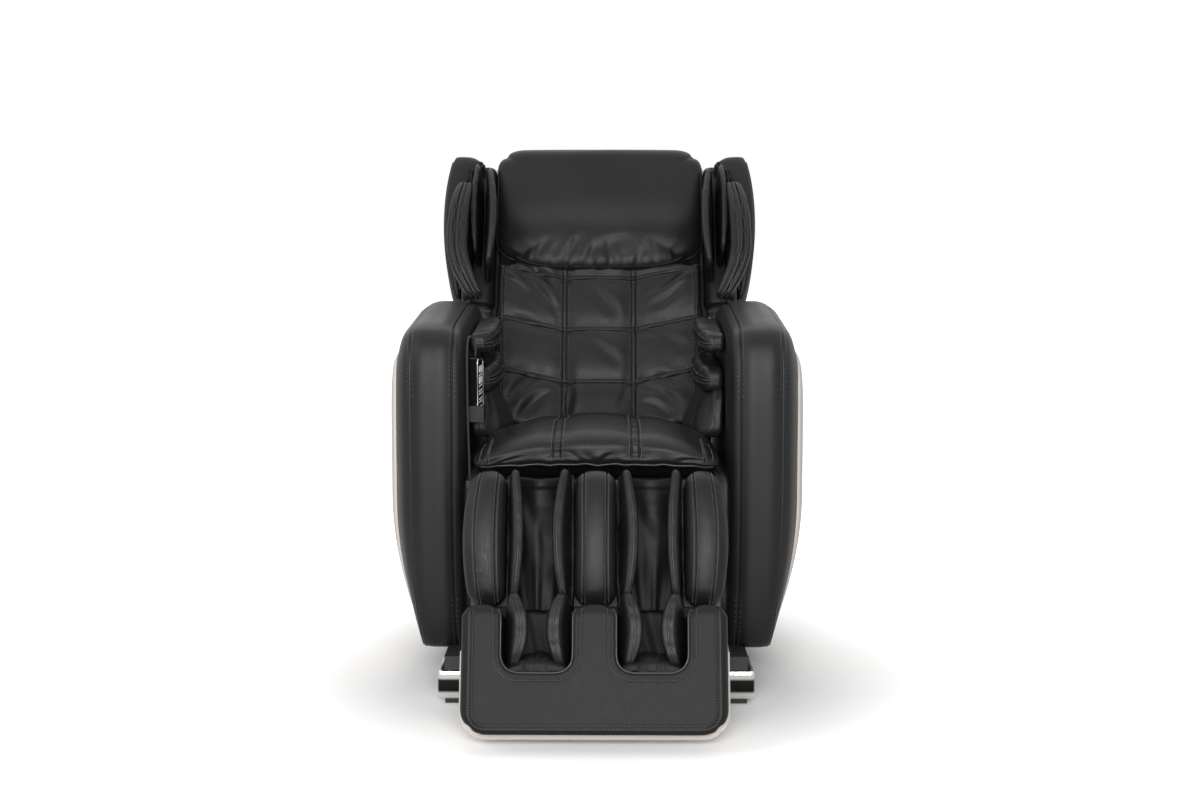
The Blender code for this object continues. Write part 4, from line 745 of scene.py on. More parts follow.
upright_seams = both_sides(BACK_WELT - UPRIGHT_HALF, BACK_WELT + UPRIGHT_HALF)
upright_seams += both_sides(SIDE_WELT - SIDE_HALF, SIDE_WELT + SIDE_HALF)
back_seams = (upright_seams, (), [row + sign * CROSS_HALF for row in CROSS_WELTS for sign in (-1, 1)])
cushion("back_cover", (-BACK_HALF, BACK_FRONT, BACK_START), (BACK_HALF, BACK_REAR, BACK_TOP), 0.016, 0.0050,
        back_form, in_back, soft_leather, "backrest", ("back_cushion",), back_heights, back_seams)

# %% [markdown]
# ### Side strips and thread
# A dark strip down each side closes the gap between the cushion and its shell, and it widens below the wing. It
# is a slim cushion of its own, because the cover's net would have to fold back on itself there.

# %% Side strips and back stitches
GUSSET_IN, GUSSET_OUT, WING_FOOT = 0.2392, 0.2502, 0.404


def back_gusset(side, sign):
    """The dark strip down the cushion's side, which closes the gap to the shell and to the wing."""

    def form(points):
        x, y, z = points.T
        below = 1 / (1 + np.exp((z - WING_FOOT) / 0.002))
        return np.stack([sign * (GUSSET_IN + (x - GUSSET_IN) * (1 + below)), y, z], axis=1)

    cushion(f"back_gusset_{side}", (GUSSET_IN, -0.012, 0.060), (GUSSET_OUT, 0.029, BACK_TOP - 0.060), 0.004,
            0.010, form, in_back, leather, "backrest", ())


for side, sign in SIDES:
    back_gusset(side, sign)

back_rows = []
for sign in (-1, 1):
    for welt, half in ((BACK_WELT, UPRIGHT_HALF), (SIDE_WELT, SIDE_HALF)):
        row = [(sign * welt, BACK_FRONT, z) for z in np.linspace(BACK_START + 0.02, LEDGE - 0.008, 24)]
        back_rows += beside(row, (1, 0, 0), half + BACK_ROW_OFF)
for level in CROSS_WELTS:
    row = [(x, BACK_FRONT, level) for x in np.linspace(-0.232, 0.232, 47)]
    back_rows += beside(row, (0, 0, 1), CROSS_HALF + BACK_ROW_OFF)
stitches("back_stitches", "back_cover", back_rows, thread)

# %% [markdown]
# ## Head pillow
# The pillow hangs from the top of the back on a hinge of cloth. Its outline has small round corners at the top
# and wide ones at the bottom. It is thin at the top and full at the bottom, where the leather is gathered into
# its hem. We round the outline by sliding points from squares onto arcs, which keeps the net even.

# %% Head pillow
PILLOW_HALF, PILLOW_LENGTH, PILLOW_THICK = 0.245, 0.305, 0.058
PILLOW_TOP = 0.812
PILLOW_SAG = 0.018
in_pillow = tilted(RECLINE, BACK_PIVOT, (LEDGE_FRONT - 0.0004, PILLOW_TOP))


def pillow_form(points):
    x, y, z = points.T
    share = fade(-y / PILLOW_THICK)
    up = 1 + 2 * z / PILLOW_LENGTH
    side = x / PILLOW_HALF
    belly = 0.016 * line_dip(up + 0.45, 0.34) * bump(side ** 2)
    thick = PILLOW_THICK * (0.55 + 0.45 * bump(side ** 2)) * (0.74 - 0.14 * up) + belly
    low = fade(-up)
    nx, nz = round_corner(x, z, (PILLOW_HALF, 0.0, -PILLOW_LENGTH), (0.060, 0.048))
    nx, nz = round_corner(nx, nz, (PILLOW_HALF, -PILLOW_LENGTH, 0.0), (0.135, 0.066))
    nz = nz - PILLOW_SAG * low ** 1.5 * bump(0.9 * side)
    return np.stack([nx, -share * thick - 0.004 * share, nz], axis=1)


PILLOW_CREASES = (
    (-0.085, -0.300, -0.050, -0.235, 0.008, 0.0020), (-0.035, -0.302, -0.008, -0.250, 0.007, 0.0018),
    (0.034, -0.300, 0.016, -0.250, 0.008, 0.0016), (0.085, -0.298, 0.108, -0.262, 0.007, 0.0012),
    (-0.150, -0.285, -0.125, -0.245, 0.008, 0.0010), (-0.015, -0.268, 0.070, -0.238, 0.012, 0.0014),
    (-0.112, -0.290, -0.102, -0.256, 0.006, 0.0012), (0.060, -0.298, 0.056, -0.270, 0.005, 0.0012),
)


def pillow_heights(points):
    x, y, z = points.T
    face = fade((-y - 0.030) / 0.015)
    hem = np.exp(-fade(z + PILLOW_LENGTH - 0.010) / 0.034)
    height = face * hem * 0.0036 * ripple(x, 0.036, 1.1) * (0.30 + 0.70 * line_dip(x + 0.01, 0.10))
    height += face * creases(x, z, PILLOW_CREASES, 1.0, 1.6)
    return height + 0.0015 * face * ripple(x + 0.6 * z, 0.31, 0.4) * bump(x / PILLOW_HALF)


cushion("pillow_cover", (-PILLOW_HALF, -PILLOW_THICK, -PILLOW_LENGTH), (PILLOW_HALF, 0.0, 0.0), 0.026, 0.0056,
        pillow_form, in_pillow, soft_leather, "pillow", ("head_pillow",), pillow_heights)


def outline_loop(half, low, high, depth):
    """A closed loop round a block's outline in the x-z plane, at a depth y."""
    xs, zs = np.linspace(-half, half, 40), np.linspace(low, high, 40)
    loop = [(x, depth, low) for x in xs] + [(half, depth, z) for z in zs]
    loop += [(x, depth, high) for x in xs[::-1]] + [(-half, depth, z) for z in zs[::-1]]
    return loop + loop[:1]


pillow_loop = outline_loop(PILLOW_HALF, -PILLOW_LENGTH, 0.0, -0.030)
piping("pillow_piping", "pillow_cover", [pillow_loop], HEM_PIPE, pipe_leather, 0.3)
hem_rows = [[(x, -0.044, -PILLOW_LENGTH + 0.008) for x in np.linspace(-0.23, 0.23, 60)]]
stitches("pillow_stitches", "pillow_cover", hem_rows, thread)

# The hinge is a strip of cloth from the top of the back to the top of the pillow.
hinge_points, hinge_faces = rounded_block((-0.190, LEDGE_FRONT - 0.004, BACK_TOP - 0.018),
                                          (0.190, LEDGE_FRONT + 0.002, PILLOW_TOP + 0.002), 0.002, 0.006)
pillow_hinge = plain_mesh("pillow_hinge", in_back(hinge_points), hinge_faces, liner_cloth)
hinge_ends = in_back(np.array([(0.0, LEDGE_FRONT, BACK_TOP - 0.006), (0.0, LEDGE_FRONT, PILLOW_TOP)]))
tuple(hinge_ends[0])
tuple(hinge_ends[1])
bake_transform(pillow_hinge)

# %% [markdown]
# ## Slim air pads
# The wings, the calf troughs and the foot wells all hold the same kind of part: a slim bag of leather that
# narrows to a point at both ends and swells when air is let in. One function makes them all. Each has piping
# down the middle of its free edge, where its two panels meet.


# %% Slim pads
def leaf_form(middle, y, z, taper, lean):
    """The shape of a slim pad: it narrows towards both ends, and leans or swells to one side."""
    middle_z, half_z = (z[0] + z[1]) / 2, (z[1] - z[0]) / 2

    def form(points):
        px, py, pz = points.T
        up = np.clip((pz - middle_z) / half_z, -1, 1)
        ny = y[1] - (y[1] - py) * (1 - 0.45 * taper * np.abs(up) ** 2.6)
        out = np.clip((2 * py - y[0] - y[1]) / (y[1] - y[0]), -1, 1)
        nx = middle + (px - middle) * (1 - taper * np.abs(up) ** 2.6) * (1 - 0.20 * fade(-out) ** 2)
        nx = nx + lean * bump(out * 0.9) * bump(up)
        return np.stack([nx, ny, pz], axis=1)

    return form


def slim_pad(name, node, x, y, z, place, body, seed, wrinkle, taper=0.35, lean=0.0, rows=True):
    middle = (x[0] + x[1]) / 2
    form = leaf_form(middle, y, z, taper, lean)

    def heights(points):
        px, py, pz = points.T
        free = fade((y[1] - 0.012 - py) / 0.01)
        edge = np.abs(px - middle)
        dip = -0.0012 * free * line_dip(edge - 0.0055, 0.0018)
        return dip + wrinkle * free * ripple(pz + 0.3 * py, 0.034, seed) * (0.4 + 0.6 * line_dip(edge, 0.008))

    radius = min(0.0098, 0.46 * (x[1] - x[0]))
    cushion(name, (x[0], y[0], z[0]), (x[1], y[1], z[1]), radius, 0.0042, form, place, soft_leather, body,
            (node,), heights)
    edge = [(middle, y[1] - 0.02, z[0]), (middle, y[0] + 0.012, z[0]), (middle, y[0], z[0] + 0.014)]
    edge += [(middle, y[0], t) for t in np.linspace(z[0] + 0.03, z[1] - 0.03, 16)]
    edge += [(middle, y[0], z[1] - 0.014), (middle, y[0] + 0.012, z[1]), (middle, y[1] - 0.02, z[1])]
    piping(f"{name}_piping", name, [edge], SLIM_PIPE, pipe_leather, 0.35)
    if rows:
        stitches(f"{name}_stitches", name, beside(edge[2:-2], (1, 0, 0), PAD_ROW_OFF), thread)


def leaning(place, y, z, toward, lean):
    """place, after moving the free edge of a pad towards one side, most at its middle."""

    def lean_and_place(points):
        moved = np.array(points, float)
        free = fade((y[1] - moved[:, 1]) / (y[1] - y[0])) ** 1.5
        up = (2 * moved[:, 2] - z[0] - z[1]) / (z[1] - z[0])
        moved[:, 0] += toward * lean * free * (0.35 + 0.65 * bump(up))
        return place(moved)

    return lean_and_place


print("slim pads are ready")

# %% [markdown]
# ## Lofts
# A form whose section changes slowly is lofted: we draw a ring of points at each height and join the rings.
# Blender's own bridge tool needs a person to pick the edges, so a few lines do it here. Corners are cut twice,
# which turns them round without ever going outside the plain solid.


# %% Lofts
def cut_corners(outline):
    """Rounds a closed outline by cutting its corners twice."""
    points = np.asarray(outline, float)
    for _ in range(2):
        following = np.roll(points, -1, axis=0)
        points = np.stack([0.75 * points + 0.25 * following, 0.25 * points + 0.75 * following], axis=1)
        points = points.reshape(-1, points.shape[-1])
    return points


def loft(rings):
    """Points and faces of a closed solid through rings, with a fan over each end."""
    rings = [np.asarray(ring) for ring in rings]
    count = len(rings[0])
    points = np.vstack(rings + [rings[0].mean(axis=0)[None], rings[-1].mean(axis=0)[None]])
    faces = []
    for r in range(len(rings) - 1):
        for k in range(count):
            n = (k + 1) % count
            faces.append((r * count + k, r * count + n, (r + 1) * count + n, (r + 1) * count + k))
    low, high = len(points) - 2, len(points) - 1
    last = (len(rings) - 1) * count
    for k in range(count):
        n = (k + 1) % count
        faces += [(low, n, k), (high, last + k, last + n)]
    return points, faces


print("lofts are ready")

# %% [markdown]
# ## Shoulder wings
# A wing is a stiff, leather-covered board that wraps the front edge of the back. Its section is a hook, with a
# notch for the outer air pad. A bent board with thickness could come close, but a loft lets the nose, the rear
# and the cap on top each have their own curve. Piping follows the two front corners.

# %% Wing covers
WING_ROOT, WING_REACH = 0.2505, 0.110
WING_LOW, WING_HIGH = 0.412, 0.767
WING_FRONT, WING_REAR, ROOT_FRONT = -0.100, 0.120, -0.030
SHELL_START, SHELL_HALF = 0.030, 0.262
INNER_PAD, MIDDLE_PAD, OUTER_PAD, PAD_GAP = 0.0225, 0.0180, 0.0270, 0.0030
PAD_LAP, PAD_PROUD, PAD_TUCK = 0.0240, 0.0720, 0.0050
PAD_SWEEP = 0.042
PAD_TRACKS = (0.32, 0.66)
BROW_START, CAP_START = 0.680, 0.729
inner_x = WING_ROOT + 0.001
middle_x = inner_x + INNER_PAD + PAD_GAP
outer_x = middle_x + MIDDLE_PAD + PAD_GAP
notch_x = outer_x + OUTER_PAD + 0.0008


def wing_outline(z):
    """The wing's section at a height: its inner side, the step round the shell, its rear and its nose."""
    up = (2 * z - WING_HIGH - WING_LOW) / (WING_HIGH - WING_LOW)
    end = abs(up) ** 4
    out = WING_ROOT + WING_REACH + 0.011 - 0.020 * (up - 0.10) ** 2 - 0.002 * end
    nose = ROOT_FRONT + (WING_FRONT - ROOT_FRONT) * (1 - 0.40 * max(0.0, -up) ** 2 - 0.12 * end)
    rear = WING_REAR - 0.030 * end
    cap = min(1.0, max(0.0, (z - CAP_START) / 0.012)) ** 2
    slope = min(1.0, max(0.0, (z - CAP_START - 0.014) / (WING_HIGH - CAP_START - 0.014)))
    brow = min(1.0, max(0.0, (z - BROW_START) / 0.010)) ** 2
    inner = notch_x + brow * (outer_x + 0.001 - notch_x)
    inner += cap * (WING_ROOT + 0.012 + 0.031 * slope - inner)
    return [
        (WING_ROOT, ROOT_FRONT), (WING_ROOT, SHELL_START - 0.001), (SHELL_HALF + 0.001, SHELL_START - 0.001),
        (SHELL_HALF + 0.001, rear - 0.020), (SHELL_HALF + 0.008, rear), (out - 0.055, rear),
        (out - 0.022, rear - 0.035), (out - 0.002, 0.030), (out, -0.020), (out - 0.004, nose + 0.016),
        (out - 0.010, nose), (inner, nose + 0.006), (inner, ROOT_FRONT),
    ]


def wing_cover(side, sign):
    heights = [WING_LOW + 0.001, WING_LOW + 0.005, WING_LOW + 0.014]
    heights += list(np.linspace(WING_LOW + 0.03, WING_HIGH - 0.03, 30))
    heights += [WING_HIGH - 0.014, WING_HIGH - 0.005, WING_HIGH - 0.001]
    rings = []
    for z in heights:
        outline = cut_corners(wing_outline(z))
        end = max(0.0, 1 - min(z - WING_LOW, WING_HIGH - z) / 0.014)
        middle = outline.mean(axis=0)
        outline = middle + (outline - middle) * (1 - 0.05 * end ** 2)
        rings.append(np.stack([sign * outline[:, 0], outline[:, 1], np.full(len(outline), z)], axis=1))
    points, faces = loft(rings)
    name = f"wing_cover_{side}"
    make_piece(name, in_back(points), faces, leather, "backrest", (f"wing_{side}",), place=in_back)
    spine, lip = [], []
    for z in np.linspace(WING_LOW + 0.02, WING_HIGH - 0.012, 44):
        outline = wing_outline(z)
        spine.append((sign * outline[9][0], outline[9][1], z))
        lip.append((sign * (outline[11][0] + 0.002), outline[11][1], z))
    piping(f"wing_piping_{side}", name, [spine, lip], WING_PIPE, pipe_leather, 0.3)
    rear_row = [(sign * wing_outline(z)[7][0], 0.024, z)
                for z in np.linspace(WING_LOW + 0.02, WING_HIGH - 0.02, 40)]
    stitches(f"wing_stitches_{side}", name, beside(spine, (0, 1, 0), 0.006) + [rear_row], thread)


print("wing pads start at", [round(x, 4) for x in (inner_x, middle_x, outer_x)])

# %% [markdown]
# ### Pads in the wings
# Three air pads stand in each wing. The inner and the middle one are slim pads that lean apart. The outer one
# is a thick leaf with a sewn and a piped track down its front, and its lower end sweeps back in towards the
# neck, so it gets a form of its own.

# %% Wing pads
PAD_BACK = ROOT_FRONT - 0.0006


def slim_wing_pads(side, sign):
    for pad, x, width, proud, z, toward, lean in (
        ("inner_pad", inner_x, INNER_PAD, 0.135, (WING_LOW + 0.050, WING_HIGH - 0.057), -sign, 0.017),
        ("middle_pad", middle_x, MIDDLE_PAD, 0.120, (WING_LOW + 0.088, WING_HIGH - 0.041), sign, 0.008),
    ):
        span, y = tuple(sorted((sign * x, sign * (x + width)))), (PAD_BACK - proud, PAD_BACK)
        slim_pad(f"{pad}_cover_{side}", f"{pad}_{side}", span, y, z, leaning(in_back, y, z, toward, lean),
                 "backrest", wrinkle=0.0014, seed=2.0 + sign + 10 * x)


def outer_wing_pad(side, sign):
    low, high, lap = WING_LOW - 0.026, WING_HIGH - 0.091, WING_FRONT - 0.016
    front = WING_FRONT - PAD_PROUD

    def form(points):
        px, py, pz = points.T
        up = np.clip((2 * pz - low - high) / (high - low), -1, 1)
        share = (px - outer_x) / OUTER_PAD
        over = 1 / (1 + np.exp((py - lap - 0.002) / 0.0030))
        wide = (PAD_LAP - 0.002) * (1 - 0.75 * np.abs(up) ** 3) * over - PAD_TUCK * (1 - over)
        ny = np.where(py < lap, lap + (py - lap) * (1 - 0.50 * np.abs(up) ** 2.4), py)
        bow = over * (0.006 * bump(up + 0.15) - PAD_SWEEP * fade(-up - 0.15) ** 1.6)
        return np.stack([sign * (px + share * wide + bow), ny, pz], axis=1)

    def heights_of(points):
        px, py, pz = points.T
        free = fade((lap - 0.004 - py) / 0.008)
        share = (px - outer_x) / OUTER_PAD
        seams = sum(line_dip(share - track, 0.05) for track in PAD_TRACKS)
        hollows = sum(line_dip(share - track, 0.14) for track in PAD_TRACKS)
        return free * (0.0006 * ripple(pz, 0.05, 3.0 + sign) - 0.0022 * seams - 0.0022 * hollows)

    name = f"outer_pad_cover_{side}"
    tracks_x = [outer_x + share * OUTER_PAD for share in PAD_TRACKS]
    cushion(name, (outer_x, front, low), (outer_x + OUTER_PAD, PAD_BACK, high), 0.0110, 0.0042, form, in_back,
            soft_leather, "backrest", (f"outer_pad_{side}",), heights_of, (tracks_x, (), ()))
    tracks = []
    for x in tracks_x:
        track = [(x, lap - 0.005, high), (x, front + 0.012, high), (x, front, high - 0.014)]
        track += [(x, front, z) for z in np.linspace(high - 0.03, low + 0.03, 18)]
        tracks.append(track + [(x, front, low + 0.014), (x, front + 0.012, low)])
    piping(f"outer_pad_piping_{side}", name, tracks[1:], PAD_PIPE, pipe_leather, 0.35)
    stitches(f"outer_pad_stitches_{side}", name, [tracks[0]] + beside(tracks[1], (1, 0, 0), 0.0040), thread)


for side, sign in SIDES:
    wing_cover(side, sign)
    slim_wing_pads(side, sign)
    outer_wing_pad(side, sign)

# %% [markdown]
# ## Back shell
# The pale shell behind the back is one thin moulding. We carve its inside out of a rounded form with booleans,
# and cut the form off flat in front and below, where the shell is open.

# %% Back shell
SHELL_LOW, SHELL_TOP, SHELL_DEEP, SHELL_WALL, SHELL_CORNER = 0.030, 0.817, 0.226, 0.006, 0.058


def shell_form(points):
    """Draws the shell in towards its foot and crowns it across."""
    x, y, z = points.T
    up = 1 - 0.06 * np.log1p(np.exp((1 - 1.25 * (z - SHELL_LOW) / (SHELL_TOP - SHELL_LOW)) / 0.06))
    behind = np.clip((y - SHELL_START) / (SHELL_DEEP - SHELL_START), 0, None)
    ny = y - (y - SHELL_START) * (y > SHELL_START) * 0.38 * (1 - up)
    return np.stack([x, ny - 0.014 * behind * (np.abs(x) / SHELL_HALF) ** 3, z], axis=1)


def cut_out(body_object, tools):
    """Booleans that take the tools out of the body. applied then makes them real."""
    for tool in tools:
        cut = body_object.modifiers.new(tool.name, "BOOLEAN")
        cut.operation = "DIFFERENCE"
        cut.object = tool


def applied(obj, tools):
    """The object's mesh with its modifiers applied, as points and faces. The object and its tools go."""
    bpy.context.view_layer.update()
    final = obj.evaluated_get(bpy.context.evaluated_depsgraph_get()).data
    points = np.empty(len(final.vertices) * 3)
    final.vertices.foreach_get("co", points)
    points, faces = points.reshape(-1, 3), [tuple(face.vertices) for face in final.polygons]
    for extra in (obj, *tools):
        bpy.data.objects.remove(extra)
    return points, faces


def carved(body_object, tools):
    """The body with the tools taken out of it, as points and faces."""
    cut_out(body_object, tools)
    return applied(body_object, tools)


def shell_block(name, low, high, radius, form=unmoved, cell=0.012):
    points, faces = rounded_block(low, high, radius, cell)
    return plain_mesh(name, form(points), faces)


room, aside = SHELL_HALF - SHELL_WALL, SHELL_HALF + 0.1
body_object = shell_block("shell_body", (-SHELL_HALF, SHELL_START - 0.05, SHELL_LOW - 0.05),
                          (SHELL_HALF, SHELL_DEEP, SHELL_TOP), SHELL_CORNER, shell_form)
tools = [
    shell_block("shell_room", (-room, SHELL_START - 0.15, SHELL_LOW - 0.15),
                (room, SHELL_DEEP - SHELL_WALL, SHELL_TOP - SHELL_WALL), SHELL_CORNER - SHELL_WALL, shell_form),
    shell_block("shell_front", (-aside, SHELL_START - 0.3, SHELL_LOW - 0.2),
                (aside, SHELL_START, SHELL_TOP + 0.1), 0.001, cell=0.3),
    shell_block("shell_foot", (-aside, SHELL_START - 0.4, SHELL_LOW - 0.3),
                (aside, SHELL_DEEP + 0.1, SHELL_LOW), 0.001, cell=0.3),
]
shell_points, shell_faces = carved(body_object, tools)
make_piece("back_shell_smooth", in_back(shell_points), shell_faces, greige, "backrest", ("back_shell",),
           "greige_shell", sharp=35)
print("back shell", len(shell_faces), "faces")

# %% [markdown]
# ## Arms
# An arm is a tall padded fin. Seen from the side it has one smooth outline; seen from the front it is a flat
# panel between two double-stitched seams, with a rounded inner cheek and an outer cheek that turns back to the
# pale shell. So its surface is a loft from the inner wall outwards: the same outline, drawn in more or less.

# %% The arm's surface
ARM_INNER, ARM_WIDTH, SIDE_BULGE, SEAM_INSET = 0.268, 0.1085, 0.0645, 0.023
ARM_SEAM = ARM_INNER + ARM_WIDTH
INNER_SEAM = ARM_INNER + SEAM_INSET
ARM_SEAMS = (INNER_SEAM, ARM_SEAM)
ARM_EDGE = ARM_SEAM + 0.60 * SIDE_BULGE
ARM_FRONT, ARM_REAR, ARM_BOTTOM, ARM_APEX = -0.320, 0.365, 0.0905, 0.780
ARM_OUTLINE = (
    (0.020, 0.035), (0.004, 0.150), (0.000, 0.330), (0.000, 0.560), (0.003, 0.760), (0.014, 0.870),
    (0.042, 0.932), (0.100, 0.962), (0.260, 0.976), (0.450, 0.990), (0.620, 1.000), (0.800, 0.985),
    (0.905, 0.915), (0.960, 0.800), (0.988, 0.640), (1.000, 0.450), (0.988, 0.270), (0.950, 0.120),
    (0.880, 0.030), (0.760, 0.000), (0.560, 0.000), (0.360, 0.000), (0.180, 0.000), (0.070, 0.000),
)
ARM_SECTION = (  # x, and shares of the arm's width by which front, top, rear and bottom are drawn in
    (ARM_INNER, 0.415, 0.276, 0.203, 0.0), (ARM_INNER + 0.0046, 0.240, 0.166, 0.111, 0.0),
    (INNER_SEAM, 0.074, 0.046, 0.0, 0.0), ((INNER_SEAM + ARM_SEAM) / 2, 0.0, 0.0, 0.0, 0.0),
    (ARM_SEAM, 0.092, 0.055, 0.0, 0.0), (ARM_SEAM + 0.40 * SIDE_BULGE, 0.415, 0.295, 0.092, 0.0),
    (ARM_EDGE, 0.876, 0.645, 0.276, 0.0),
)
SHELL_SECTION = (
    (ARM_EDGE + 0.0004, 0.876, 0.645, 0.276, 0.0), (ARM_EDGE + 0.0060, 0.922, 0.691, 0.304, 0.037),
    (ARM_SEAM + 0.86 * SIDE_BULGE, 1.382, 1.198, 0.737, 0.369),
    (ARM_SEAM + SIDE_BULGE, 2.396, 2.488, 1.751, 1.014),
)


def smooth_table(table, at):
    """Values of a table's columns at new places along its first column, on a smooth curve."""
    table = np.asarray(table, float)
    keys, values = table[:, 0], table[:, 1:]
    slopes = np.gradient(values, keys, axis=0)
    at = np.clip(np.asarray(at, float), keys[0], keys[-1])
    k = np.clip(np.searchsorted(keys, at, side="right") - 1, 0, len(keys) - 2)
    step = (keys[k + 1] - keys[k])[:, None]
    t = ((at - keys[k])[:, None]) / step
    return (values[k] * (2 * t ** 3 - 3 * t ** 2 + 1) + slopes[k] * step * (t ** 3 - 2 * t ** 2 + t)
            + values[k + 1] * (3 * t ** 2 - 2 * t ** 3) + slopes[k + 1] * step * (t ** 3 - t ** 2))


def smooth_loop(points, count):
    """A closed smooth curve through the given points."""
    points = np.asarray(points, float)
    total = len(points)
    marks = np.arange(count) * total / count
    k = marks.astype(int)
    t = (marks - k)[:, None]
    a, b, c, d = (points[(k + shift) % total] for shift in (-1, 0, 1, 2))
    return 0.5 * (2 * b + (c - a) * t + (2 * a - 5 * b + 4 * c - d) * t ** 2 + (3 * b - a - 3 * c + d) * t ** 3)


arm_loop = smooth_loop(ARM_OUTLINE, 192)


def arm_surface(section, sign):
    """A map from (x, place round the outline) to the arm's surface."""

    def place(points):
        points = np.asarray(points, float)
        x = points[:, 0]
        marks = points[:, 1] * len(arm_loop)
        k = np.floor(marks).astype(int)
        t = (marks - k)[:, None]
        outline = arm_loop[k % len(arm_loop)] * (1 - t) + arm_loop[(k + 1) % len(arm_loop)] * t
        front, top, rear, lift = (smooth_table(section, x) * ARM_WIDTH).T
        y = ARM_FRONT + front + (ARM_REAR - ARM_FRONT - front - rear) * outline[:, 0]
        z = ARM_BOTTOM + lift + (ARM_APEX - ARM_BOTTOM - top - lift) * outline[:, 1]
        low = fade(1 - (z - ARM_BOTTOM) / 0.300)
        seam = ARM_SEAM - 0.021 * low ** 2
        inside = ARM_INNER + (x - ARM_INNER) * (seam - ARM_INNER) / (ARM_SEAM - ARM_INNER)
        outside = seam + (x - ARM_SEAM) * (1 - 0.88 * low ** 2)
        return np.stack([sign * np.where(x > ARM_SEAM, outside, inside), y, z], axis=1)

    return place


def arm_rings(place, xs):
    rounds = np.arange(len(arm_loop)) / len(arm_loop)
    return [place(np.stack([np.full(len(rounds), x), rounds], axis=1)) for x in xs]


print("arm outline", len(arm_loop), "points")

# %% [markdown]
# ### Arm covers and side shells
# The leather is one loft with extra rings at its two seams, so that each seam can be pressed in as a fine
# groove. The pale shell goes on where the leather ends and closes towards the outside. Two lofts of one outline
# meet without a gap, which two separate models would not.

# %% Arms, their seams and the pale side shells
ARM_SEAM_STEPS = (-0.0048, -0.0030, -0.0018, -0.0009, 0.0, 0.0009, 0.0018, 0.0030, 0.0048)
ARM_ROW_OFF = 0.0052


def build_arm(side, sign):
    place = arm_surface(ARM_SECTION, sign)
    xs = set(np.linspace(ARM_INNER, INNER_SEAM, 9)) | set(np.linspace(INNER_SEAM, ARM_SEAM, 16))
    xs |= set(np.linspace(ARM_SEAM, ARM_EDGE, 10))
    for seam in ARM_SEAMS:
        xs = {x for x in xs if abs(x - seam) > ARM_SEAM_STEPS[-1]}
        xs |= {seam + step for step in ARM_SEAM_STEPS}
    xs = np.array(sorted(xs))
    points, faces = loft(arm_rings(place, xs))
    across = np.concatenate([np.repeat(xs, len(arm_loop)), [xs[0], xs[-1]]])
    panel = bump((across - (INNER_SEAM + ARM_SEAM) / 2) / ((ARM_SEAM - INNER_SEAM) / 2))
    heights = 0.0015 * panel
    for seam in ARM_SEAMS:
        heights -= 0.0030 * line_dip(across - seam, 0.0010)
        heights += 0.0008 * line_dip(np.abs(across - seam) - 0.0036, 0.0020)
    name = f"arm_cover_{side}"
    make_piece(name, points, faces, leather, "base", (f"arm_{side}",), heights=heights, place=place)
    rounds = np.linspace(-0.10, 0.62, 200)
    rows = []
    for seam in ARM_SEAMS:
        row = np.stack([np.full(len(rounds), seam), rounds], axis=1)
        rows += [row + (-ARM_ROW_OFF, 0), row + (ARM_ROW_OFF, 0)]
    stitches(f"arm_stitches_{side}", name, [resample_rounds(row, place) for row in rows], thread)


def resample_rounds(row, place):
    """Puts the marks of a seam at stitch spacing by their true length on the arm."""
    spots = place(row)
    reach = np.concatenate([[0.0], np.cumsum(np.linalg.norm(np.diff(spots, axis=0), axis=1))])
    marks = np.arange(0.0, reach[-1], STITCH_PITCH)
    return np.stack([np.interp(marks, reach, row[:, k]) for k in range(2)], axis=1)


def build_side_shell(side, sign):
    place = arm_surface(SHELL_SECTION, sign)
    edges = [row[0] for row in SHELL_SECTION]
    xs = np.concatenate([np.linspace(edges[0], edges[1], 4), np.linspace(edges[1], edges[2], 8)[1:],
                         np.linspace(edges[2], edges[3], 8)[1:]])
    points, faces = loft(arm_rings(place, xs))
    make_piece(f"side_panel_{side}", points, faces, greige, "base", (f"side_shell_{side}",), "greige_shell")


for side, sign in SIDES:
    build_arm(side, sign)
    build_side_shell(side, sign)

# %% [markdown]
# ## Air pads on the arms
# Each arm carries three air pads on its inner wall: two that hold the forearm from above and below, and one
# beside the hip. The upper one is slack, so its top is wrinkled and its piped lip wanders.

# %% Forearm and hip pads
ARM_WALL_X = ARM_INNER - 0.0004
PAD_RISE = 0.06


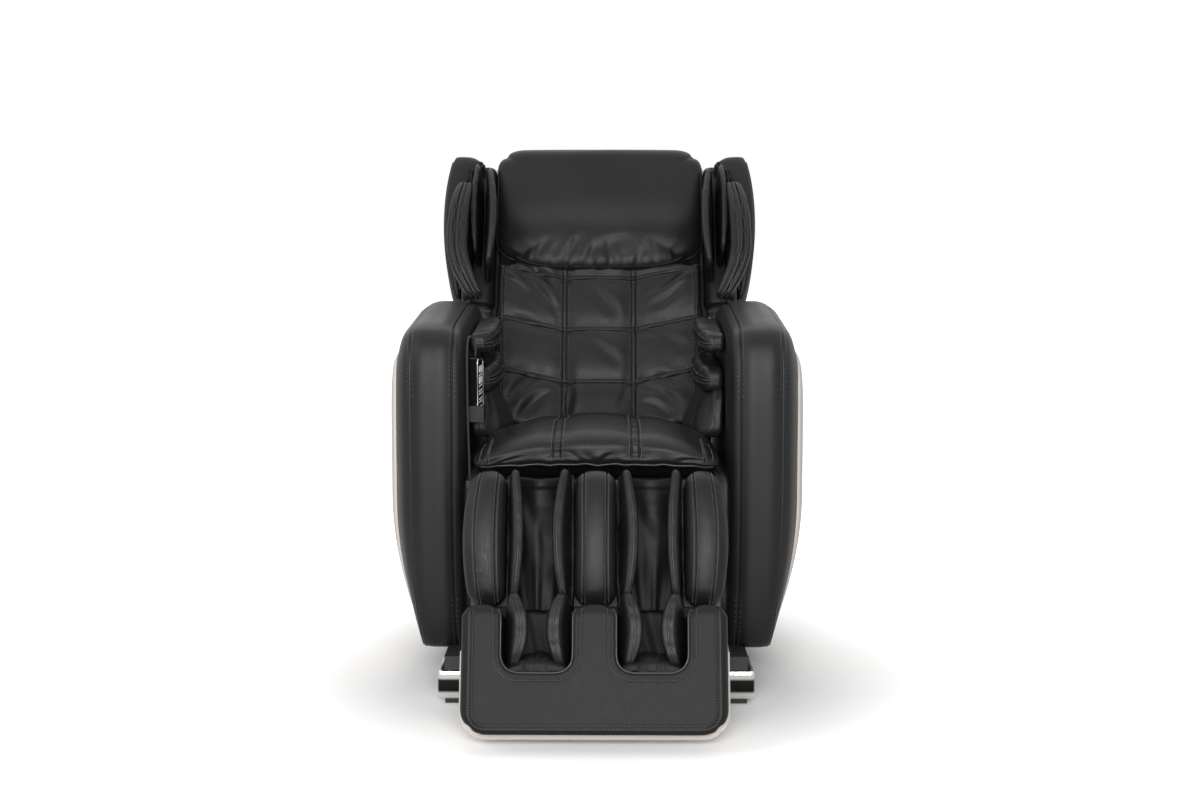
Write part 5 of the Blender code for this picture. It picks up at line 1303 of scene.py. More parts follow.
def forearm_pad(side, sign, name, reach_in, y, z, crown, slack):
    middle_y, middle_z = sum(y) / 2, sum(z) / 2

    def form(points):
        px, py, pz = points.T
        out = (ARM_WALL_X - px) / (ARM_WALL_X - reach_in)
        along = np.clip((py - middle_y) / (y[1] - middle_y), -1, 1)
        reach = ARM_WALL_X - (ARM_WALL_X - px) * (1 - 0.35 * np.abs(along) ** 3)
        lift = crown * bump(along) * out * np.where(pz > middle_z, 1.0, -0.2)
        return np.stack([sign * reach, py, pz + lift + PAD_RISE * (py - middle_y)], axis=1)

    def heights(points):
        px, py, pz = points.T
        out = fade((ARM_WALL_X - px) / (ARM_WALL_X - reach_in))
        folds = ripple(py + 0.4 * px, 0.030, 1.3 + sign + 40 * reach_in)
        return slack * out * folds * (0.5 + 0.5 * out)

    label = f"{name}_cover_{side}"
    cushion(label, (reach_in, y[0], z[0]), (ARM_WALL_X, y[1], z[1]), 0.46 * (z[1] - z[0]) * 0.8, 0.0045, form,
            unmoved, soft_leather, "base", (f"{name}_{side}",), heights)
    rim = [(ARM_WALL_X - 0.010, y[0], middle_z), (reach_in + 0.016, y[0], middle_z)]
    rim += [(reach_in, t, middle_z) for t in np.linspace(y[0] + 0.016, y[1] - 0.016, 24)]
    rim += [(reach_in + 0.016, y[1], middle_z), (ARM_WALL_X - 0.010, y[1], middle_z)]
    piping(f"{name}_piping_{side}", label, [rim], PAD_PIPE, pipe_leather, 0.35)
    stitches(f"{name}_stitches_{side}", label, beside(rim[1:-1], (0, 0, 1), PAD_ROW_OFF), thread)


def hip_pad(side, sign):
    reach_in, y, z = 0.172, (-0.182, 0.110), (0.5125, 0.620)
    middle_y = sum(y) / 2

    def form(points):
        px, py, pz = points.T
        up = (pz - z[0]) / (z[1] - z[0])
        along = np.clip((py - middle_y) / (y[1] - middle_y), -1, 1)
        thick = (1 - 0.50 * np.abs(along) ** 3) * (1 - 0.62 * up)
        return np.stack([sign * (ARM_WALL_X - (ARM_WALL_X - px) * thick), py + 0.03 * (up - 0.5), pz], axis=1)

    def heights(points):
        px, py, pz = points.T
        out = fade((ARM_WALL_X - px) / (ARM_WALL_X - reach_in))
        return 0.0014 * out * ripple(py - 0.5 * pz, 0.045, 4.0 + sign)

    label = f"hip_cover_{side}"
    cushion(label, (reach_in, y[0], z[0]), (ARM_WALL_X, y[1], z[1]), 0.030, 0.0050, form, unmoved, soft_leather,
            "base", (f"hip_pad_{side}",), heights)
    rim = [(reach_in + 0.045, y[0], z[0] + 0.01), (reach_in + 0.020, y[0], z[1] - 0.020)]
    rim += [(reach_in + 0.010, t, z[1]) for t in np.linspace(y[0] + 0.02, y[1] - 0.02, 20)]
    piping(f"hip_piping_{side}", label, [rim], PAD_PIPE, pipe_leather, 0.35)


for side, sign in SIDES:
    forearm_pad(side, sign, "upper_arm_pad", 0.210, (-0.170, 0.105), (0.698, 0.738), 0.012, 0.0030)
    forearm_pad(side, sign, "lower_arm_pad", 0.206, (-0.160, 0.105), (0.612, 0.666), 0.006, 0.0022)
    hip_pad(side, sign)

# %% [markdown]
# ## Leg rest: calf pillows
# Three pillows stand between and beside the calves. Each has a front panel between two seams. The outer ones
# are drawn in a little at their ends.

# %% Calf pillows
LEG_HALF = 0.2475
TROUGH_IN, TROUGH_OUT = 0.040, 0.173
CALF_TOP, CALF_BOTTOM, CALF_DEPTH = 0.016, -0.244, 0.114
CALF_SEAT = -0.0179
CALF_LENGTH = CALF_TOP - CALF_BOTTOM
CALF_ROW_OFF = 0.0034


def calf_pillow(name, node, low, high, outer, seams):
    def form(points):
        px, py, pz = points.T
        up = (2 * pz - CALF_TOP - CALF_BOTTOM) / CALF_LENGTH
        share = fade((outer * px - TROUGH_OUT) / (LEG_HALF - TROUGH_OUT)) if outer else 0.0
        front = fade((-0.060 - py) / (CALF_DEPTH - 0.060))
        drawn = share * (0.009 * bump(up) - 0.006 * up ** 2)
        return np.stack([px + outer * drawn, py + front * 0.025 * np.abs(up) ** 2.0, pz], axis=1)

    def heights(points):
        px, py, pz = points.T
        face = fade((-CALF_DEPTH + 0.016 - py) / 0.008)
        from_end = CALF_LENGTH / 2 - np.abs(pz - (CALF_TOP + CALF_BOTTOM) / 2)
        face = np.maximum(face, fade((0.010 - from_end) / 0.006))
        middle, half = 0.5 * (seams[0] + seams[1]), 0.5 * (seams[1] - seams[0])
        height = 0.0022 * face * bump((px - middle) / (half + 0.010))
        for k, seam in enumerate(seams):
            off = np.abs(px - seam)
            height -= face * (0.0030 * line_dip(off, 0.0011) + 0.0014 * line_dip(off, 0.010))
            height += face * puckers(off, pz + py, 0.008, 0.019, 0.0007, 1.0 + k + 5 * seam)
        return height

    cushion(name, (low, -CALF_DEPTH, CALF_BOTTOM), (high, CALF_SEAT, CALF_TOP), 0.028, 0.0048, form, in_leg,
            soft_leather, "leg_rest", (node,), heights, (seams, (), ()))
    rows = []
    for seam in seams:
        row = [(seam, -CALF_DEPTH + 0.022, CALF_TOP), (seam, -CALF_DEPTH + 0.006, CALF_TOP - 0.006)]
        row += [(seam, -CALF_DEPTH, z) for z in np.linspace(CALF_TOP - 0.022, CALF_BOTTOM + 0.022, 24)]
        row += [(seam, -CALF_DEPTH + 0.006, CALF_BOTTOM + 0.006), (seam, -CALF_DEPTH + 0.022, CALF_BOTTOM)]
        rows += beside(row, (1, 0, 0), CALF_ROW_OFF)
    stitches(f"{name}_stitches", name, rows, thread)


calf_pillow("calf_cover_left", "calf_pillow_left", -LEG_HALF, -TROUGH_OUT, -1, (-0.2264, -0.190))
calf_pillow("calf_cover_centre", "calf_pillow_centre", -TROUGH_IN, TROUGH_IN, 0, (-0.023, 0.023))
calf_pillow("calf_cover_right", "calf_pillow_right", TROUGH_OUT, LEG_HALF, 1, (0.190, 0.2264))

# %% [markdown]
# ## Leg rest: flaps and trough liners
# A flap stands at each side of a calf and leans towards it. Between them a loose liner covers the trough. It
# hangs in folds that run down to the middle from both sides, like a curtain caught at its hem. A cloth skirt
# behind it hides the slides between the calf part and the foot part.

# %% Calf flaps and liners
FLAP_WIDTH = 0.026
FLAP_LEAN = {"inner": 0.020, "outer": 0.012}
TROUGH_CREASES = (  # across the liner from its middle, and up the leg rest
    (-0.046, -0.020, -0.016, -0.160, 0.011, 0.0040), (0.040, -0.040, 0.022, -0.190, 0.012, 0.0036),
    (-0.010, -0.080, 0.008, -0.200, 0.010, 0.0022), (-0.055, -0.012, 0.055, -0.012, 0.003, 0.0024),
)


def trough_liner(side, sign):
    low, high = sorted((sign * (TROUGH_IN + 0.002), sign * (TROUGH_OUT - 0.002)))
    middle, half = (low + high) / 2, (high - low) / 2
    front, rear = -0.078, CALF_SEAT
    low_z, high_z = CALF_BOTTOM - 0.006, CALF_TOP - 0.008

    def form(points):
        px, py, pz = points.T
        across = fade(np.abs(px - middle) / half)
        share = (rear - py) / (rear - front)
        up = (pz - low_z) / (high_z - low_z)
        deep = 0.008 + (0.030 + 0.022 * up) * across ** 1.8 + 0.012 * fade(up - 0.80) / 0.20
        return np.stack([px, rear - share * deep, pz], axis=1)

    def heights(points):
        px, py, pz = points.T
        face = fade((rear - 0.012 - py) / 0.01)
        across = (px - middle) / half
        up = (pz - low_z) / (high_z - low_z)
        fan = across / (0.45 + 0.55 * up)
        folds = 0.0036 * ripple(fan, 0.80, 1.4 + sign) * fade(1.15 - up)
        bend = np.hypot(px - middle, 0.020)
        folds += 0.0024 * ripple(pz + 0.8 * bend, 0.110, 0.4 + sign)
        return face * (folds + creases(px - middle, pz, TROUGH_CREASES))

    name = f"trough_liner_{side}"
    cushion(name, (low, front, low_z), (high, rear, high_z), 0.006, 0.0040, form, in_leg,
            liner_cloth, "leg_rest", (), heights)


def skirt_form(points):
    x, y, z = points.T
    return np.stack([x, y + 0.0008 * ripple(x, 0.060, 0.8), z], axis=1)


cushion("slide_skirt", (-0.236, -0.0090, -0.330), (0.236, -0.0045, -0.200), 0.002, 0.008, skirt_form, in_leg,
        liner_cloth, "leg_rest", ())

for side, sign in SIDES:
    trough_liner(side, sign)
    flap_y = (-CALF_DEPTH - 0.004, CALF_SEAT)
    for spot, x, toward in (("inner", TROUGH_IN + 0.001, sign),
                            ("outer", TROUGH_OUT - 0.001 - FLAP_WIDTH, -sign)):
        span = tuple(sorted((sign * x, sign * (x + FLAP_WIDTH))))
        place = leaning(in_leg, flap_y, (CALF_BOTTOM, CALF_TOP), toward, FLAP_LEAN[spot])
        slim_pad(f"calf_flap_cover_{side}_{spot}", f"calf_flap_{side}_{spot}", span, flap_y,
                 (CALF_BOTTOM + 0.010, CALF_TOP), place, "leg_rest", taper=0.30, wrinkle=0.0010,
                 seed=5.0 + sign + 30 * x, rows=False)

# %% [markdown]
# ## Foot section
# The foot section is one padded block with two wells pressed into it. We carve the wells with a boolean, then
# let a voxel remesh turn the sharp result into an even skin, and smooth it. That rounds every edge at once,
# as foam under leather does. Its slide rails are steel, so they are made again as separate rods.

# %% Foot housing
FOOT_TOP, FOOT_DEPTH, FOOT_REAR, FOOT_FLOOR = -0.254, 0.190, -0.010, 0.034
FOOT_CORNER = (0.052, 0.048)
WELL_FLOOR, WELL_HEEL, WELL_CORNER = -0.382, -0.040, 0.034
EDGE_SEAM, WELL_SEAM, EDGE_CORNER = 0.0190, 0.0125, 0.046
FOOT_SKIN_CELL, FOOT_ROW_OFF = 0.0036, 0.0036


def level_z(y, height):
    """The z, in the leg rest's own frame, of a world height at y."""
    tilt = math.radians(LEG_TILT)
    return (height - LEG_PIVOT[1] + math.sin(tilt) * np.asarray(y)) / math.cos(tilt)


def foot_body(name, half, front, rear, height, top, radius):
    """A block as wide as the leg rest, level underneath, with wide lower corners in the front view."""
    deep = float(level_z(front, height))
    points, faces = rounded_block((-half, front, deep), (half, rear, top), radius, 0.006)
    x, z = round_corner(points[:, 0], points[:, 2], (half, deep, top), FOOT_CORNER)
    low = fade((top - 0.1 - z) / (top - 0.1 - deep))
    z = np.where(low > 0, top - 0.1 - low * (top - 0.1 - level_z(points[:, 1], height)), z)
    return plain_mesh(name, np.stack([x, points[:, 1], z], axis=1), faces)


foot_block = foot_body("foot_block", LEG_HALF, -FOOT_DEPTH, FOOT_REAR, FOOT_FLOOR, FOOT_TOP, 0.020)
wells = []
for side, sign in SIDES:
    low, high = sorted((sign * TROUGH_IN, sign * TROUGH_OUT))
    points, faces = rounded_block((low, -FOOT_DEPTH - 0.05, WELL_FLOOR), (high, WELL_HEEL, FOOT_TOP + 0.05),
                                  0.030, 0.008)
    wells.append(plain_mesh(f"well_room_{side}", points, faces))
cut_out(foot_block, wells)
even = foot_block.modifiers.new("even", "REMESH")
even.mode = "VOXEL"
even.voxel_size = FOOT_SKIN_CELL
soft = foot_block.modifiers.new("soft", "SMOOTH")
soft.factor = 0.5
soft.iterations = 8
foot_points, foot_faces = applied(foot_block, wells)
print("foot skin", len(foot_faces), "faces")

# %% [markdown]
# ### Grooves on the foot section
# The remeshed skin has no plain block behind it, so its seams are placed by distance instead: how far a point
# lies inside the front outline, or outside a well. One groove follows each distance, with folds beside it.


# %% Grooves on the foot section
def outside_well(x, z, sign):
    """Distance in the front view from a well's outline, positive outside it."""
    half = (TROUGH_OUT - TROUGH_IN) / 2
    dx = np.abs(sign * x - TROUGH_IN - half) - half + WELL_CORNER
    dz = WELL_FLOOR + WELL_CORNER - z
    return np.hypot(np.maximum(dx, 0), np.maximum(dz, 0)) + np.minimum(np.maximum(dx, dz), 0) - WELL_CORNER


def inside_edge(x, y, z):
    """Distance in the front view from the foot section's outline, positive inside it."""
    deep = level_z(y, FOOT_FLOOR)
    dx = np.abs(x) - LEG_HALF + EDGE_CORNER
    dz = deep + EDGE_CORNER - z
    return EDGE_CORNER - np.hypot(np.maximum(dx, 0), np.maximum(dz, 0)) - np.minimum(np.maximum(dx, dz), 0)


fx, fy, fz = foot_points.T
front_face = fade((-FOOT_DEPTH + 0.020 - fy) / 0.006)
foot_lift = -front_face * 0.0030 * line_dip(inside_edge(fx, fy, fz) - EDGE_SEAM, 0.0016)
heel_wall = fade((fy - WELL_HEEL + 0.024) / 0.012) * (fy < WELL_HEEL + 0.008)
for sign in (-1, 1):
    to_well = outside_well(fx, fz, sign)
    foot_lift -= front_face * 0.0026 * line_dip(to_well - WELL_SEAM, 0.0016)
    gathers = puckers(to_well - WELL_SEAM, fx + fz, 0.007, 0.024, 0.0007, 2.0 + sign)
    foot_lift += front_face * (to_well > 0) * gathers
    bay = fade(-to_well / 0.012)
    foot_lift += heel_wall * bay * 0.0030 * ripple(fx + 0.25 * fz, 0.048, 1.0 + sign)
for middle, half in ((0.0, TROUGH_IN), (0.211, 0.037), (-0.211, 0.037)):
    lobe = fade((np.abs(fx - middle) / half)) ** 2.5 * (np.abs(fx - middle) < half + 0.004)
    foot_points[:, 2] -= 0.013 * lobe * fade((fz - FOOT_TOP + 0.030) / 0.030)
make_piece("foot_cover", in_leg(foot_points), foot_faces, foot_leather, "foot_rest", ("foot_housing",),
           heights=foot_lift, place=in_leg)
print("foot_cover", len(foot_faces), "faces")

# %% [markdown]
# ### Thread, rails and soles
# The thread follows the same distances, now as paths. The rails are round steel bars. Each well has a loose
# cloth sole over the roller, full in its middle and pulled into folds in front.


# %% Foot seams, rails and sole covers
def well_track(sign, off, y):
    """A path down one wall of a well, round its floor and up the other wall."""
    inner, outer = TROUGH_IN - off, TROUGH_OUT + off
    floor, turn = WELL_FLOOR - off, WELL_CORNER + off
    track = [(sign * inner, y, z) for z in np.linspace(FOOT_TOP - 0.006, floor + turn, 14)]
    for k in range(1, 9):
        angle = math.pi / 2 * k / 8
        track.append((sign * (inner + turn - turn * math.cos(angle)), y, floor + turn - turn * math.sin(angle)))
    for k in range(9):
        angle = math.pi / 2 * k / 8
        track.append((sign * (outer - turn + turn * math.sin(angle)), y, floor + turn - turn * math.cos(angle)))
    return track + [(sign * outer, y, z) for z in np.linspace(floor + turn, FOOT_TOP - 0.006, 14)]


edge_rows = []
for gap in (EDGE_SEAM - FOOT_ROW_OFF, EDGE_SEAM + FOOT_ROW_OFF):
    x, turn = LEG_HALF - gap, EDGE_CORNER - gap
    foot_z = float(level_z(-FOOT_DEPTH, FOOT_FLOOR)) + gap
    row = [(-x, -FOOT_DEPTH, z) for z in np.linspace(FOOT_TOP - 0.012, foot_z + turn, 20)]
    for k in range(1, 9):
        angle = math.pi / 16 * k
        row.append((-x + turn - turn * math.cos(angle), -FOOT_DEPTH, foot_z + turn - turn * math.sin(angle)))
    edge_rows.append(row + [(-a, b, c) for a, b, c in row[::-1]])
lip_y = -FOOT_DEPTH + 0.002
stitches("foot_stitches", "foot_cover", edge_rows, thread)
well_rows = [well_track(sign, WELL_SEAM + FOOT_ROW_OFF, lip_y) for _, sign in SIDES]
stitches("well_stitches", "foot_cover", well_rows, thread)
piping("well_piping", "foot_cover", [well_track(sign, 0.003, lip_y + 0.003) for _, sign in SIDES], HEM_PIPE,
       pipe_leather, 0.3)


def steel_rod(name, radius, start, end, body, material):
    start, end = Vector(start), Vector(end)
    bm = bmesh.new()
    bmesh.ops.create_cone(bm, cap_ends=True, segments=32, radius1=radius, radius2=radius,
                          depth=(end - start).length)
    mesh = bpy.data.meshes.new(name)
    bm.to_mesh(mesh)
    bm.free()
    turn = (end - start).to_track_quat("Z", "Y").to_matrix().to_4x4()
    turn.translation = (start + end) / 2
    mesh.transform(turn)
    mesh.shade_smooth()
    mesh.set_sharp_from_angle(angle=math.radians(40))
    obj = new_object(name, mesh, material)
    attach(obj, body)


for side, sign in SIDES:
    rail = [(sign * 0.150, 0.012, FOOT_TOP - 0.095), (sign * 0.150, 0.012, CALF_BOTTOM + 0.210)]
    ends = in_leg(np.array(rail))
    steel_rod(f"slide_rail_{side}", 0.008, ends[0], ends[1], "foot_rest", steel_black)


def sole_cover(side, sign):
    low, high = sorted((sign * (TROUGH_IN + 0.003), sign * (TROUGH_OUT - 0.003)))
    middle, half = (low + high) / 2, (high - low) / 2
    front, heel = -FOOT_DEPTH + 0.012, WELL_HEEL - 0.002
    bottom, top = WELL_FLOOR - 0.004, WELL_FLOOR + 0.046

    def form(points):
        px, py, pz = points.T
        across = np.clip((px - middle) / half, -1, 1)
        along = np.clip((2 * py - front - heel) / (heel - front), -1, 1)
        rise = (0.35 + 0.65 * bump(across)) * (0.45 + 0.55 * bump(along * 0.9))
        return np.stack([px, py, bottom + (pz - bottom) * rise], axis=1)

    def heights(points):
        px, py, pz = points.T
        turn = np.arctan2(px - middle, py - front + 0.012)
        return 0.0030 * ripple(turn, 0.55, 1.5 + sign) * fade((pz - bottom - 0.01) / 0.01)

    cushion(f"sole_cover_{side}", (low, front, bottom), (high, heel, top), 0.013, 0.0040, form, in_leg,
            liner_cloth, "foot_rest", (), heights)


print("foot seams and rails are in place")

# %% [markdown]
# ### Foot shell and foot pads
# The pale shell is a rounded body, hollowed for the padded block and open at its top, and it is carved as the
# back shell is. On each sole stand two slim pads, which hold the foot from its sides and are more wrinkled.

# %% Foot shell and foot pads
FOOT_PAD_WIDTH = 0.035


def foot_shell():
    """The pale shell: a rounded body, hollowed for the padded block and open at its top."""
    half, front, rear, wall = LEG_HALF + 0.0054, -FOOT_DEPTH + 0.045, 0.034, 0.005
    floor, high = FOOT_FLOOR - 0.0004, FOOT_TOP + 0.05
    shell = foot_body("foot_shell_body", half, front, rear, FOOT_FLOOR - 0.020, FOOT_TOP - 0.004, 0.014)
    corners = np.empty(len(shell.data.vertices) * 3, np.float32)
    shell.data.vertices.foreach_get("co", corners)
    spots = corners.reshape(-1, 3)
    ahead = fade((-0.012 - spots[:, 1]) / 0.120)
    above = fade((spots[:, 2] - FOOT_TOP + 0.104) / 0.1)
    spots[:, 2] -= above * (0.022 + 0.056 * ahead * ahead * (3 - 2 * ahead))
    shell.data.vertices.foreach_set("co", corners)
    points, faces = carved(shell, [
        foot_body("foot_shell_room", LEG_HALF + 0.0004, front - 0.080, FOOT_REAR + 0.001, floor, high, 0.014),
        foot_body("foot_shell_pocket", LEG_HALF - 0.020, FOOT_REAR - 0.03, rear - wall, floor, high, 0.010),
    ])
    make_piece("foot_shell_smooth", in_leg(points), faces, greige, "foot_rest", ("foot_shell",), "greige_shell",
               sharp=35)
    print("foot shell", len(faces), "faces")


foot_shell()
for side, sign in SIDES:
    sole_cover(side, sign)
    for spot, x in (("inner", TROUGH_IN + 0.0004), ("outer", TROUGH_OUT - 0.0004 - FOOT_PAD_WIDTH)):
        toward = sign if spot == "inner" else -sign
        span = tuple(sorted((sign * x, sign * (x + FOOT_PAD_WIDTH))))
        pad_y = (-FOOT_DEPTH + 0.006, -FOOT_DEPTH + 0.066)
        pad_z = (WELL_FLOOR + 0.012, FOOT_TOP + 0.022)
        place = leaning(in_leg, pad_y, pad_z, toward, 0.018)
        slim_pad(f"foot_pad_cover_{side}_{spot}", f"foot_pad_{side}_{spot}", span, pad_y, pad_z, place,
                 "foot_rest", taper=0.50, lean=toward * 0.004, wrinkle=0.0018, seed=6.0 + sign + 50 * x,
                 rows=False)

# %% [markdown]
# ## Hand control and its cable
# The hand control stands in its cup. Over the plain body we add a bright rim round the key face and the rows
# of slanted keys. The cable is a mesh tube along the frame's own route: it leaves the top, turns over in a loop
# and runs down beside the arm.

# %% Hand control
REMOTE_TURN = math.radians(12.0)
REMOTE_THICK, REMOTE_WIDE, REMOTE_LENGTH = 0.020, 0.042, 0.128
REMOTE_Y, REMOTE_Z = -0.222, 0.558
remote_reach = REMOTE_THICK / 2 * math.cos(REMOTE_TURN) + REMOTE_WIDE / 2 * math.sin(REMOTE_TURN) + 0.0006
REMOTE_X = -(ARM_WALL_X - 0.003 - remote_reach)


def in_remote(points):
    points = np.asarray(points, float)
    cosine, sine = math.cos(-REMOTE_TURN), math.sin(-REMOTE_TURN)
    x, y, z = points.T
    return np.stack([REMOTE_X + x * cosine - y * sine, REMOTE_Y + x * sine + y * cosine, REMOTE_Z + z], axis=1)


def tube_mesh(name, path, radius, material, sides, closed=False):
    """A round tube along a path, with flat ends unless it is closed."""
    path = [Vector(point) for point in path]
    count = len(path)
    rings = []
    side = None
    for k, point in enumerate(path):
        before = path[(k - 1) % count] if closed or k > 0 else path[0]
        after = path[(k + 1) % count] if closed or k < count - 1 else path[-1]
        run = (after - before).normalized()
        if side is None:
            side = run.orthogonal().normalized()
        side = (side - run * side.dot(run)).normalized()
        up = run.cross(side)
        turns = [2 * math.pi * n / sides for n in range(sides)]
        rings.append([tuple(point + radius * (math.cos(a) * side + math.sin(a) * up)) for a in turns])
    points = [point for ring in rings for point in ring]
    faces = []
    for k in range(count if closed else count - 1):
        n = (k + 1) % count
        for s in range(sides):
            t = (s + 1) % sides
            faces.append((k * sides + s, k * sides + t, n * sides + t, n * sides + s))
    if not closed:
        faces += [tuple(range(sides))[::-1], tuple((count - 1) * sides + s for s in range(sides))]
    obj = plain_mesh(name, points, faces, material)
    obj.data.shade_smooth()
    return obj


rim_path = []
half_y, low_z, high_z, turn = REMOTE_WIDE / 2 - 0.0015, 0.0035, REMOTE_LENGTH - 0.0035, 0.006
for cy, cz, first in ((half_y - turn, high_z - turn, 0), (-half_y + turn, high_z - turn, 1),
                      (-half_y + turn, low_z + turn, 2), (half_y - turn, low_z + turn, 3)):
    for k in range(7):
        angle = math.pi / 2 * (first + k / 6)
        rim_path.append((REMOTE_THICK / 2 - 0.0006, cy + turn * math.cos(angle), cz + turn * math.sin(angle)))
remote_rim = tube_mesh("remote_rim", in_remote(rim_path), 0.0014, chrome, 10, closed=True)
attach(remote_rim, "hand_control")

KEY_ROWS, KEY_PITCH, KEY_PAIR = 6, 0.0165, 0.0062
key_points, key_faces = [], []
for z in [0.018 + KEY_PITCH * k + KEY_PAIR * n for k in range(KEY_ROWS) for n in range(2)]:
    base = len(key_points)
    for x in (REMOTE_THICK / 2 - 0.0006, REMOTE_THICK / 2 + 0.0007):
        key_points += [(x, -0.009, z), (x, 0.009, z + 0.0034)]
        key_points += [(x, 0.009, z + 0.0060), (x, -0.009, z + 0.0026)]
    key_faces += [(base, base + 3, base + 2, base + 1), (base + 4, base + 5, base + 6, base + 7)]
    for s in range(4):
        t = (s + 1) % 4
        key_faces.append((base + s, base + t, base + 4 + t, base + 4 + s))
keys = plain_mesh("key_bars", in_remote(key_points), key_faces, key_white)
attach(keys, "hand_control")

print("hand control", len(key_faces) // 6, "key bars")

# %% [markdown]
# ### The cable
# A curve with a round bevel would be the quickest cable. We build the tube's mesh ring by ring instead, and its
# length is measured along the same route.

# %% Hand control cable
CABLE_RADIUS = 0.0024
CABLE_ROUTE = [
    (-0.2500, -0.2220, 0.6866), (-0.2500, -0.2225, 0.7000), (-0.2515, -0.2250, 0.7150),
    (-0.2560, -0.2320, 0.7270), (-0.2605, -0.2440, 0.7300), (-0.2630, -0.2560, 0.7210),
    (-0.2640, -0.2640, 0.7040), (-0.2640, -0.2680, 0.6800), (-0.2640, -0.2700, 0.6500),
    (-0.2635, -0.2710, 0.6100), (-0.2630, -0.2715, 0.5700), (-0.2620, -0.2720, 0.5300),
    (-0.2610, -0.2740, 0.5000), (-0.2600, -0.2780, 0.4740), (-0.2590, -0.2830, 0.4500),
    (-0.2590, -0.2850, 0.4400),
]


def smooth_route(points, step):
    vectors = [Vector(point) for point in points]
    ends = [2 * vectors[0] - vectors[1], *vectors, 2 * vectors[-1] - vectors[-2]]
    route = []
    for k in range(1, len(ends) - 2):
        a, b, c, d = ends[k - 1:k + 3]
        count = max(1, round((c - b).length / step))
        for n in range(count):
            t = n / count
            square = (2 * a - 5 * b + 4 * c - d) * t ** 2
            cube = (3 * b - a - 3 * c + d) * t ** 3
            route.append(0.5 * (2 * b + (c - a) * t + square + cube))
    return route + [vectors[-1]]


cable_path = [tuple(point) for point in smooth_route(CABLE_ROUTE, 0.004)]
cable_length = sum(math.dist(a, b) for a, b in zip(cable_path, cable_path[1:]))
cable = tube_mesh("hand_control_cable", cable_path, CABLE_RADIUS, wheel_rubber, 16)
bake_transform(cable)
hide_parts("remote_cable")
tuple(cable_path[0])
print("cable", round(cable_length, 4), "m")

# %% [markdown]
# ## Pieces kept from the frame
# The steel frame, the mechanism and the electrics keep their plain solids, which are already their true shape.
# They only need their finishes. The bright front feet stand on dark glides that belong to the same solid, so
# their material switches from chrome to rubber by height. A dark stripe of painted reflection is set into the
# chrome's colour.

# %% Finishes for the kept solids
def dress(node, material):
    obj = bpy.data.objects[node]
    obj.data.materials.clear()
    obj.data.materials.append(material)


FOOT_TALL, GLIDE_TALL = 0.070, 0.0095
GLIDE_TONE, GLIDE_ROUGHER = (0.014, 0.014, 0.014), 0.6
# Painted reflection: a dark stripe darkens the chrome's own colour partway up each foot.
PAINTED_REFLECTION_BAND = ((0.33, 1.0), (0.41, 0.02), (0.72, 0.03), (0.79, 0.95))  # share of the foot's height, and tone


def foot_finish():
    """Chrome with a dark stripe of painted reflection in its colour, and the rubber glide below it."""
    material = chrome.copy()
    material.name = "chrome_foot_painted_reflection_on_glide"
    tree = material.node_tree
    shader = tree.nodes["Principled BSDF"].inputs
    colour, gloss = [shader[label].links[0].from_socket for label in ("Base Color", "Roughness")]
    spot = add_node(tree, "ShaderNodeNewGeometry").outputs["Position"]
    height = add_node(tree, "ShaderNodeSeparateXYZ", {"Vector": spot}).outputs["Z"]
    bright = maths(tree, "GREATER_THAN", height, GLIDE_TALL)
    # This ramp paints the dark stripe of reflection into the chrome's colour.
    reflection_ramp = add_node(tree, "ShaderNodeValToRGB", {0: maths(tree, "DIVIDE", height, FOOT_TALL)})
    stops = reflection_ramp.color_ramp.elements
    for stop, (at, tone) in zip(stops, PAINTED_REFLECTION_BAND[:2]):
        stop.position, stop.color = at, (tone, tone, tone, 1.0)
    for at, tone in PAINTED_REFLECTION_BAND[2:]:
        stops.new(at).color = (tone, tone, tone, 1.0)
    reflection_tinted = mix_colour(tree, 1.0, colour, reflection_ramp.outputs[0], blend_type="MULTIPLY")
    rougher = maths(tree, "MULTIPLY", maths(tree, "SUBTRACT", 1.0, bright), GLIDE_ROUGHER)
    feed(tree, shader["Base Color"], mix_colour(tree, bright, GLIDE_TONE, reflection_tinted))
    feed(tree, shader["Metallic"], bright)
    feed(tree, shader["Roughness"], maths(tree, "ADD", gloss, rougher))
    return material


foot_chrome = foot_finish()
KEPT = {
    "base_frame": steel_black, "recline_shaft": ground_steel, "leg_shaft": ground_steel,
    "front_foot_left": foot_chrome, "front_foot_right": foot_chrome, "back_frame": steel_black,
    "roller_carriage": plastic_black, "kneading_head_left": plastic_black,
    "kneading_head_right": plastic_black, "calf_shell": plastic_black,
    "sole_roller": wheel_rubber, "rear_wheel_left": wheel_rubber, "rear_wheel_right": wheel_rubber,
    "control_box": plastic_black, "air_pump": plastic_black, "power_switch": piano_black,
    "back_actuator": plastic_black, "back_actuator_rod": ground_steel, "leg_actuator": plastic_black,
    "leg_actuator_rod": ground_steel, "remote": piano_black, "remote_holder": leather,
    "power_key": key_white, "program_key": key_white,
}
for node, material in KEPT.items():
    dress(node, material)
print("kept", len(KEPT), "nodes")

# %% [markdown]
# ## Lamps
# Black leather shows its form only by what it reflects. So the lamps are large and soft: a strong one in front,
# a weak one from the left for shape, and a wide one above for the tops. A picture of a room could light it
# too, but would leave its windows in the chrome.


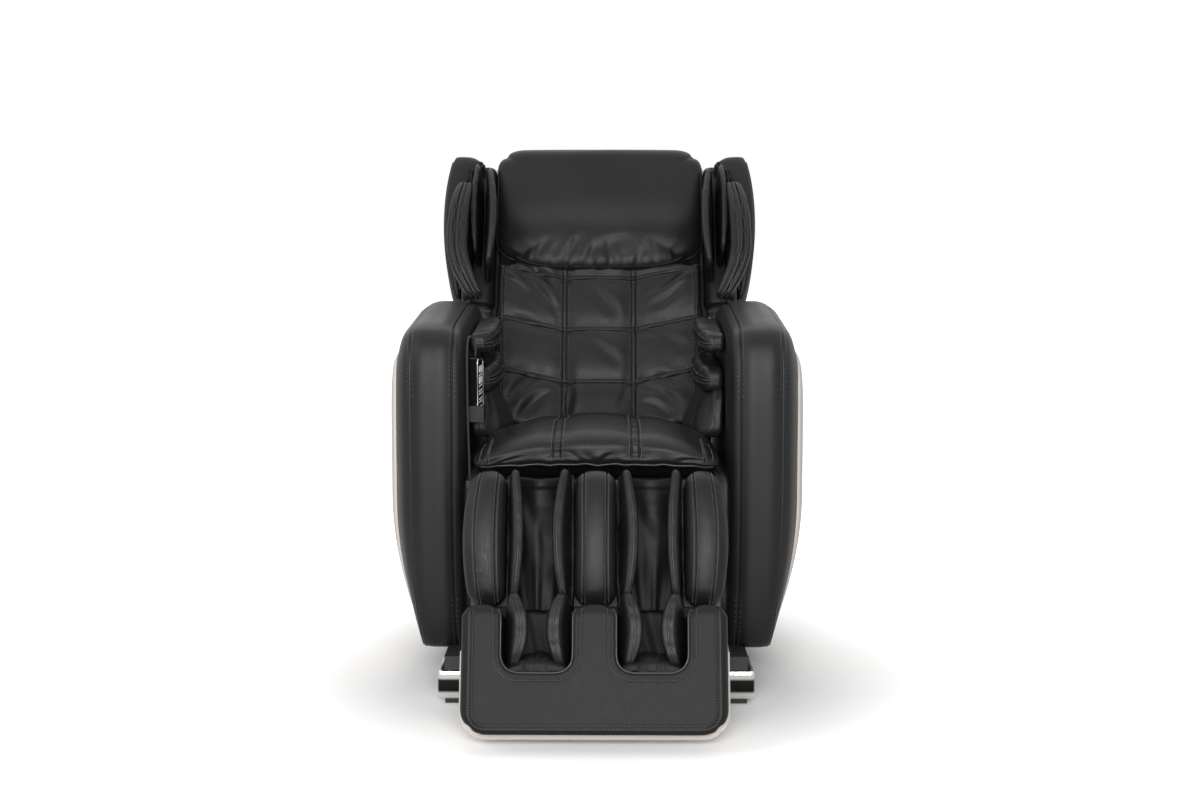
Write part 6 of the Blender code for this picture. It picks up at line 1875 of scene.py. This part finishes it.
# %% Lamps
def soft_lamp(name, location, target, size, power):
    light = bpy.data.lights.new(name, "AREA")
    light.shape = "RECTANGLE"
    light.size, light.size_y = size
    light.energy = power
    lamp = new_object(name, light)
    lamp.location = location
    lamp.rotation_euler = (Vector(target) - Vector(location)).to_track_quat("-Z", "Y").to_euler()
    lamp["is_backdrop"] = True


soft_lamp("front_light", (0.0, -4.4, 1.6), (0, 0.0, 0.8), (2.2, 1.4), 172)
soft_lamp("side_light", (-2.6, -1.8, 2.2), (0, -0.1, 0.5), (1.2, 1.6), 22)
soft_lamp("top_light", (0.0, 0.9, 3.4), (0, -0.1, 0.2), (4.4, 3.2), 36)

print("lamps", len(bpy.data.lights))

# %% [markdown]
# ## Floor
# The photograph is a cut-out on white with a soft shadow. The floor is matte and pale, and away from the chair
# it also glows for the camera alone. That lifts it to white without adding light. Near the chair the glow fades
# out, so the floor there is darker: partly the real cast shadow near the feet, partly painted shade in a ring
# round the chair. A shadow catcher would need compositing afterwards.

# %% Floor
FLOOR_HALF, FLOOR_TONE = 14, 0.90
GLOW_CENTRE, GLOW_START, GLOW_FULL = (0.0, -0.20, 0.0), 0.40, 1.15
WHITE = (1.0, 1.0, 1.0, 1.0)

floor_paint = bpy.data.materials.new("studio_floor")
floor_paint.use_nodes = True
tree = floor_paint.node_tree
tree.nodes.clear()
spot = add_node(tree, "ShaderNodeNewGeometry").outputs["Position"]
away = add_node(tree, "ShaderNodeVectorMath", {0: spot, 1: GLOW_CENTRE}, operation="SUBTRACT")
reach = add_node(tree, "ShaderNodeVectorMath", {0: away.outputs["Vector"]}, operation="LENGTH")
# The glow fades to nothing towards the chair, and the darker ring it leaves there is painted shade.
far = add_node(tree, "ShaderNodeMapRange", {"Value": reach.outputs["Value"], "From Min": GLOW_START,
                                            "From Max": GLOW_FULL, "To Min": 0.0, "To Max": 1.0})
rays = add_node(tree, "ShaderNodeLightPath").outputs
strength = maths(tree, "MULTIPLY", rays["Is Camera Ray"], far.outputs[0])
matte = add_node(tree, "ShaderNodeBsdfDiffuse", {"Color": (FLOOR_TONE, FLOOR_TONE, FLOOR_TONE, 1.0)})
glow = add_node(tree, "ShaderNodeEmission", {"Color": WHITE, "Strength": strength})
both = add_node(tree, "ShaderNodeAddShader", {0: matte.outputs[0], 1: glow.outputs[0]})
add_node(tree, "ShaderNodeOutputMaterial", {"Surface": both.outputs[0]})
floor_corners = [(x * FLOOR_HALF, y * FLOOR_HALF, 0) for x, y in ((-1, -1), (1, -1), (1, 1), (-1, 1))]
plain_mesh("studio_floor", floor_corners, [(0, 1, 2, 3)], floor_paint)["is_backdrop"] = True
print("floor", 2 * FLOOR_HALF, "m wide")

# %% [markdown]
# ## World
# The world is white to the camera, in reflections and through glass, and dimmer as a light. So the background
# is as white as the photograph's, and the chair isn't washed out by it.

# %% World
WORLD_LIGHT, WORLD_SEEN = 0.38, 0.62
world = bpy.data.worlds.new("studio_world")
scene.world = world
world.use_nodes = True
tree = world.node_tree
rays = add_node(tree, "ShaderNodeLightPath").outputs
seen = maths(tree, "ADD", rays["Is Camera Ray"], rays["Is Glossy Ray"])
seen = maths(tree, "MINIMUM", maths(tree, "ADD", seen, rays["Is Transmission Ray"]), 1.0)
background = tree.nodes["Background"].inputs
feed(tree, background["Color"], WHITE)
feed(tree, background["Strength"], maths(tree, "ADD", maths(tree, "MULTIPLY", seen, WORLD_SEEN), WORLD_LIGHT))
print("studio is set")
print("studio is set")

# %% [markdown]
# ## Measure and finish
# Last, the box of the whole dressed chair is set beside the box of the plain frame.

# %% Sizes, and the end
scene.render.resolution_x, scene.render.resolution_y = 1200, 800
seen_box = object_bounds()


def plain(box):
    return [[float(value) for value in corner] for corner in box]


{"frame": plain(cad_box), "scene": plain(seen_box)}
print("frame", plain(cad_box))
print("scene", plain(seen_box))
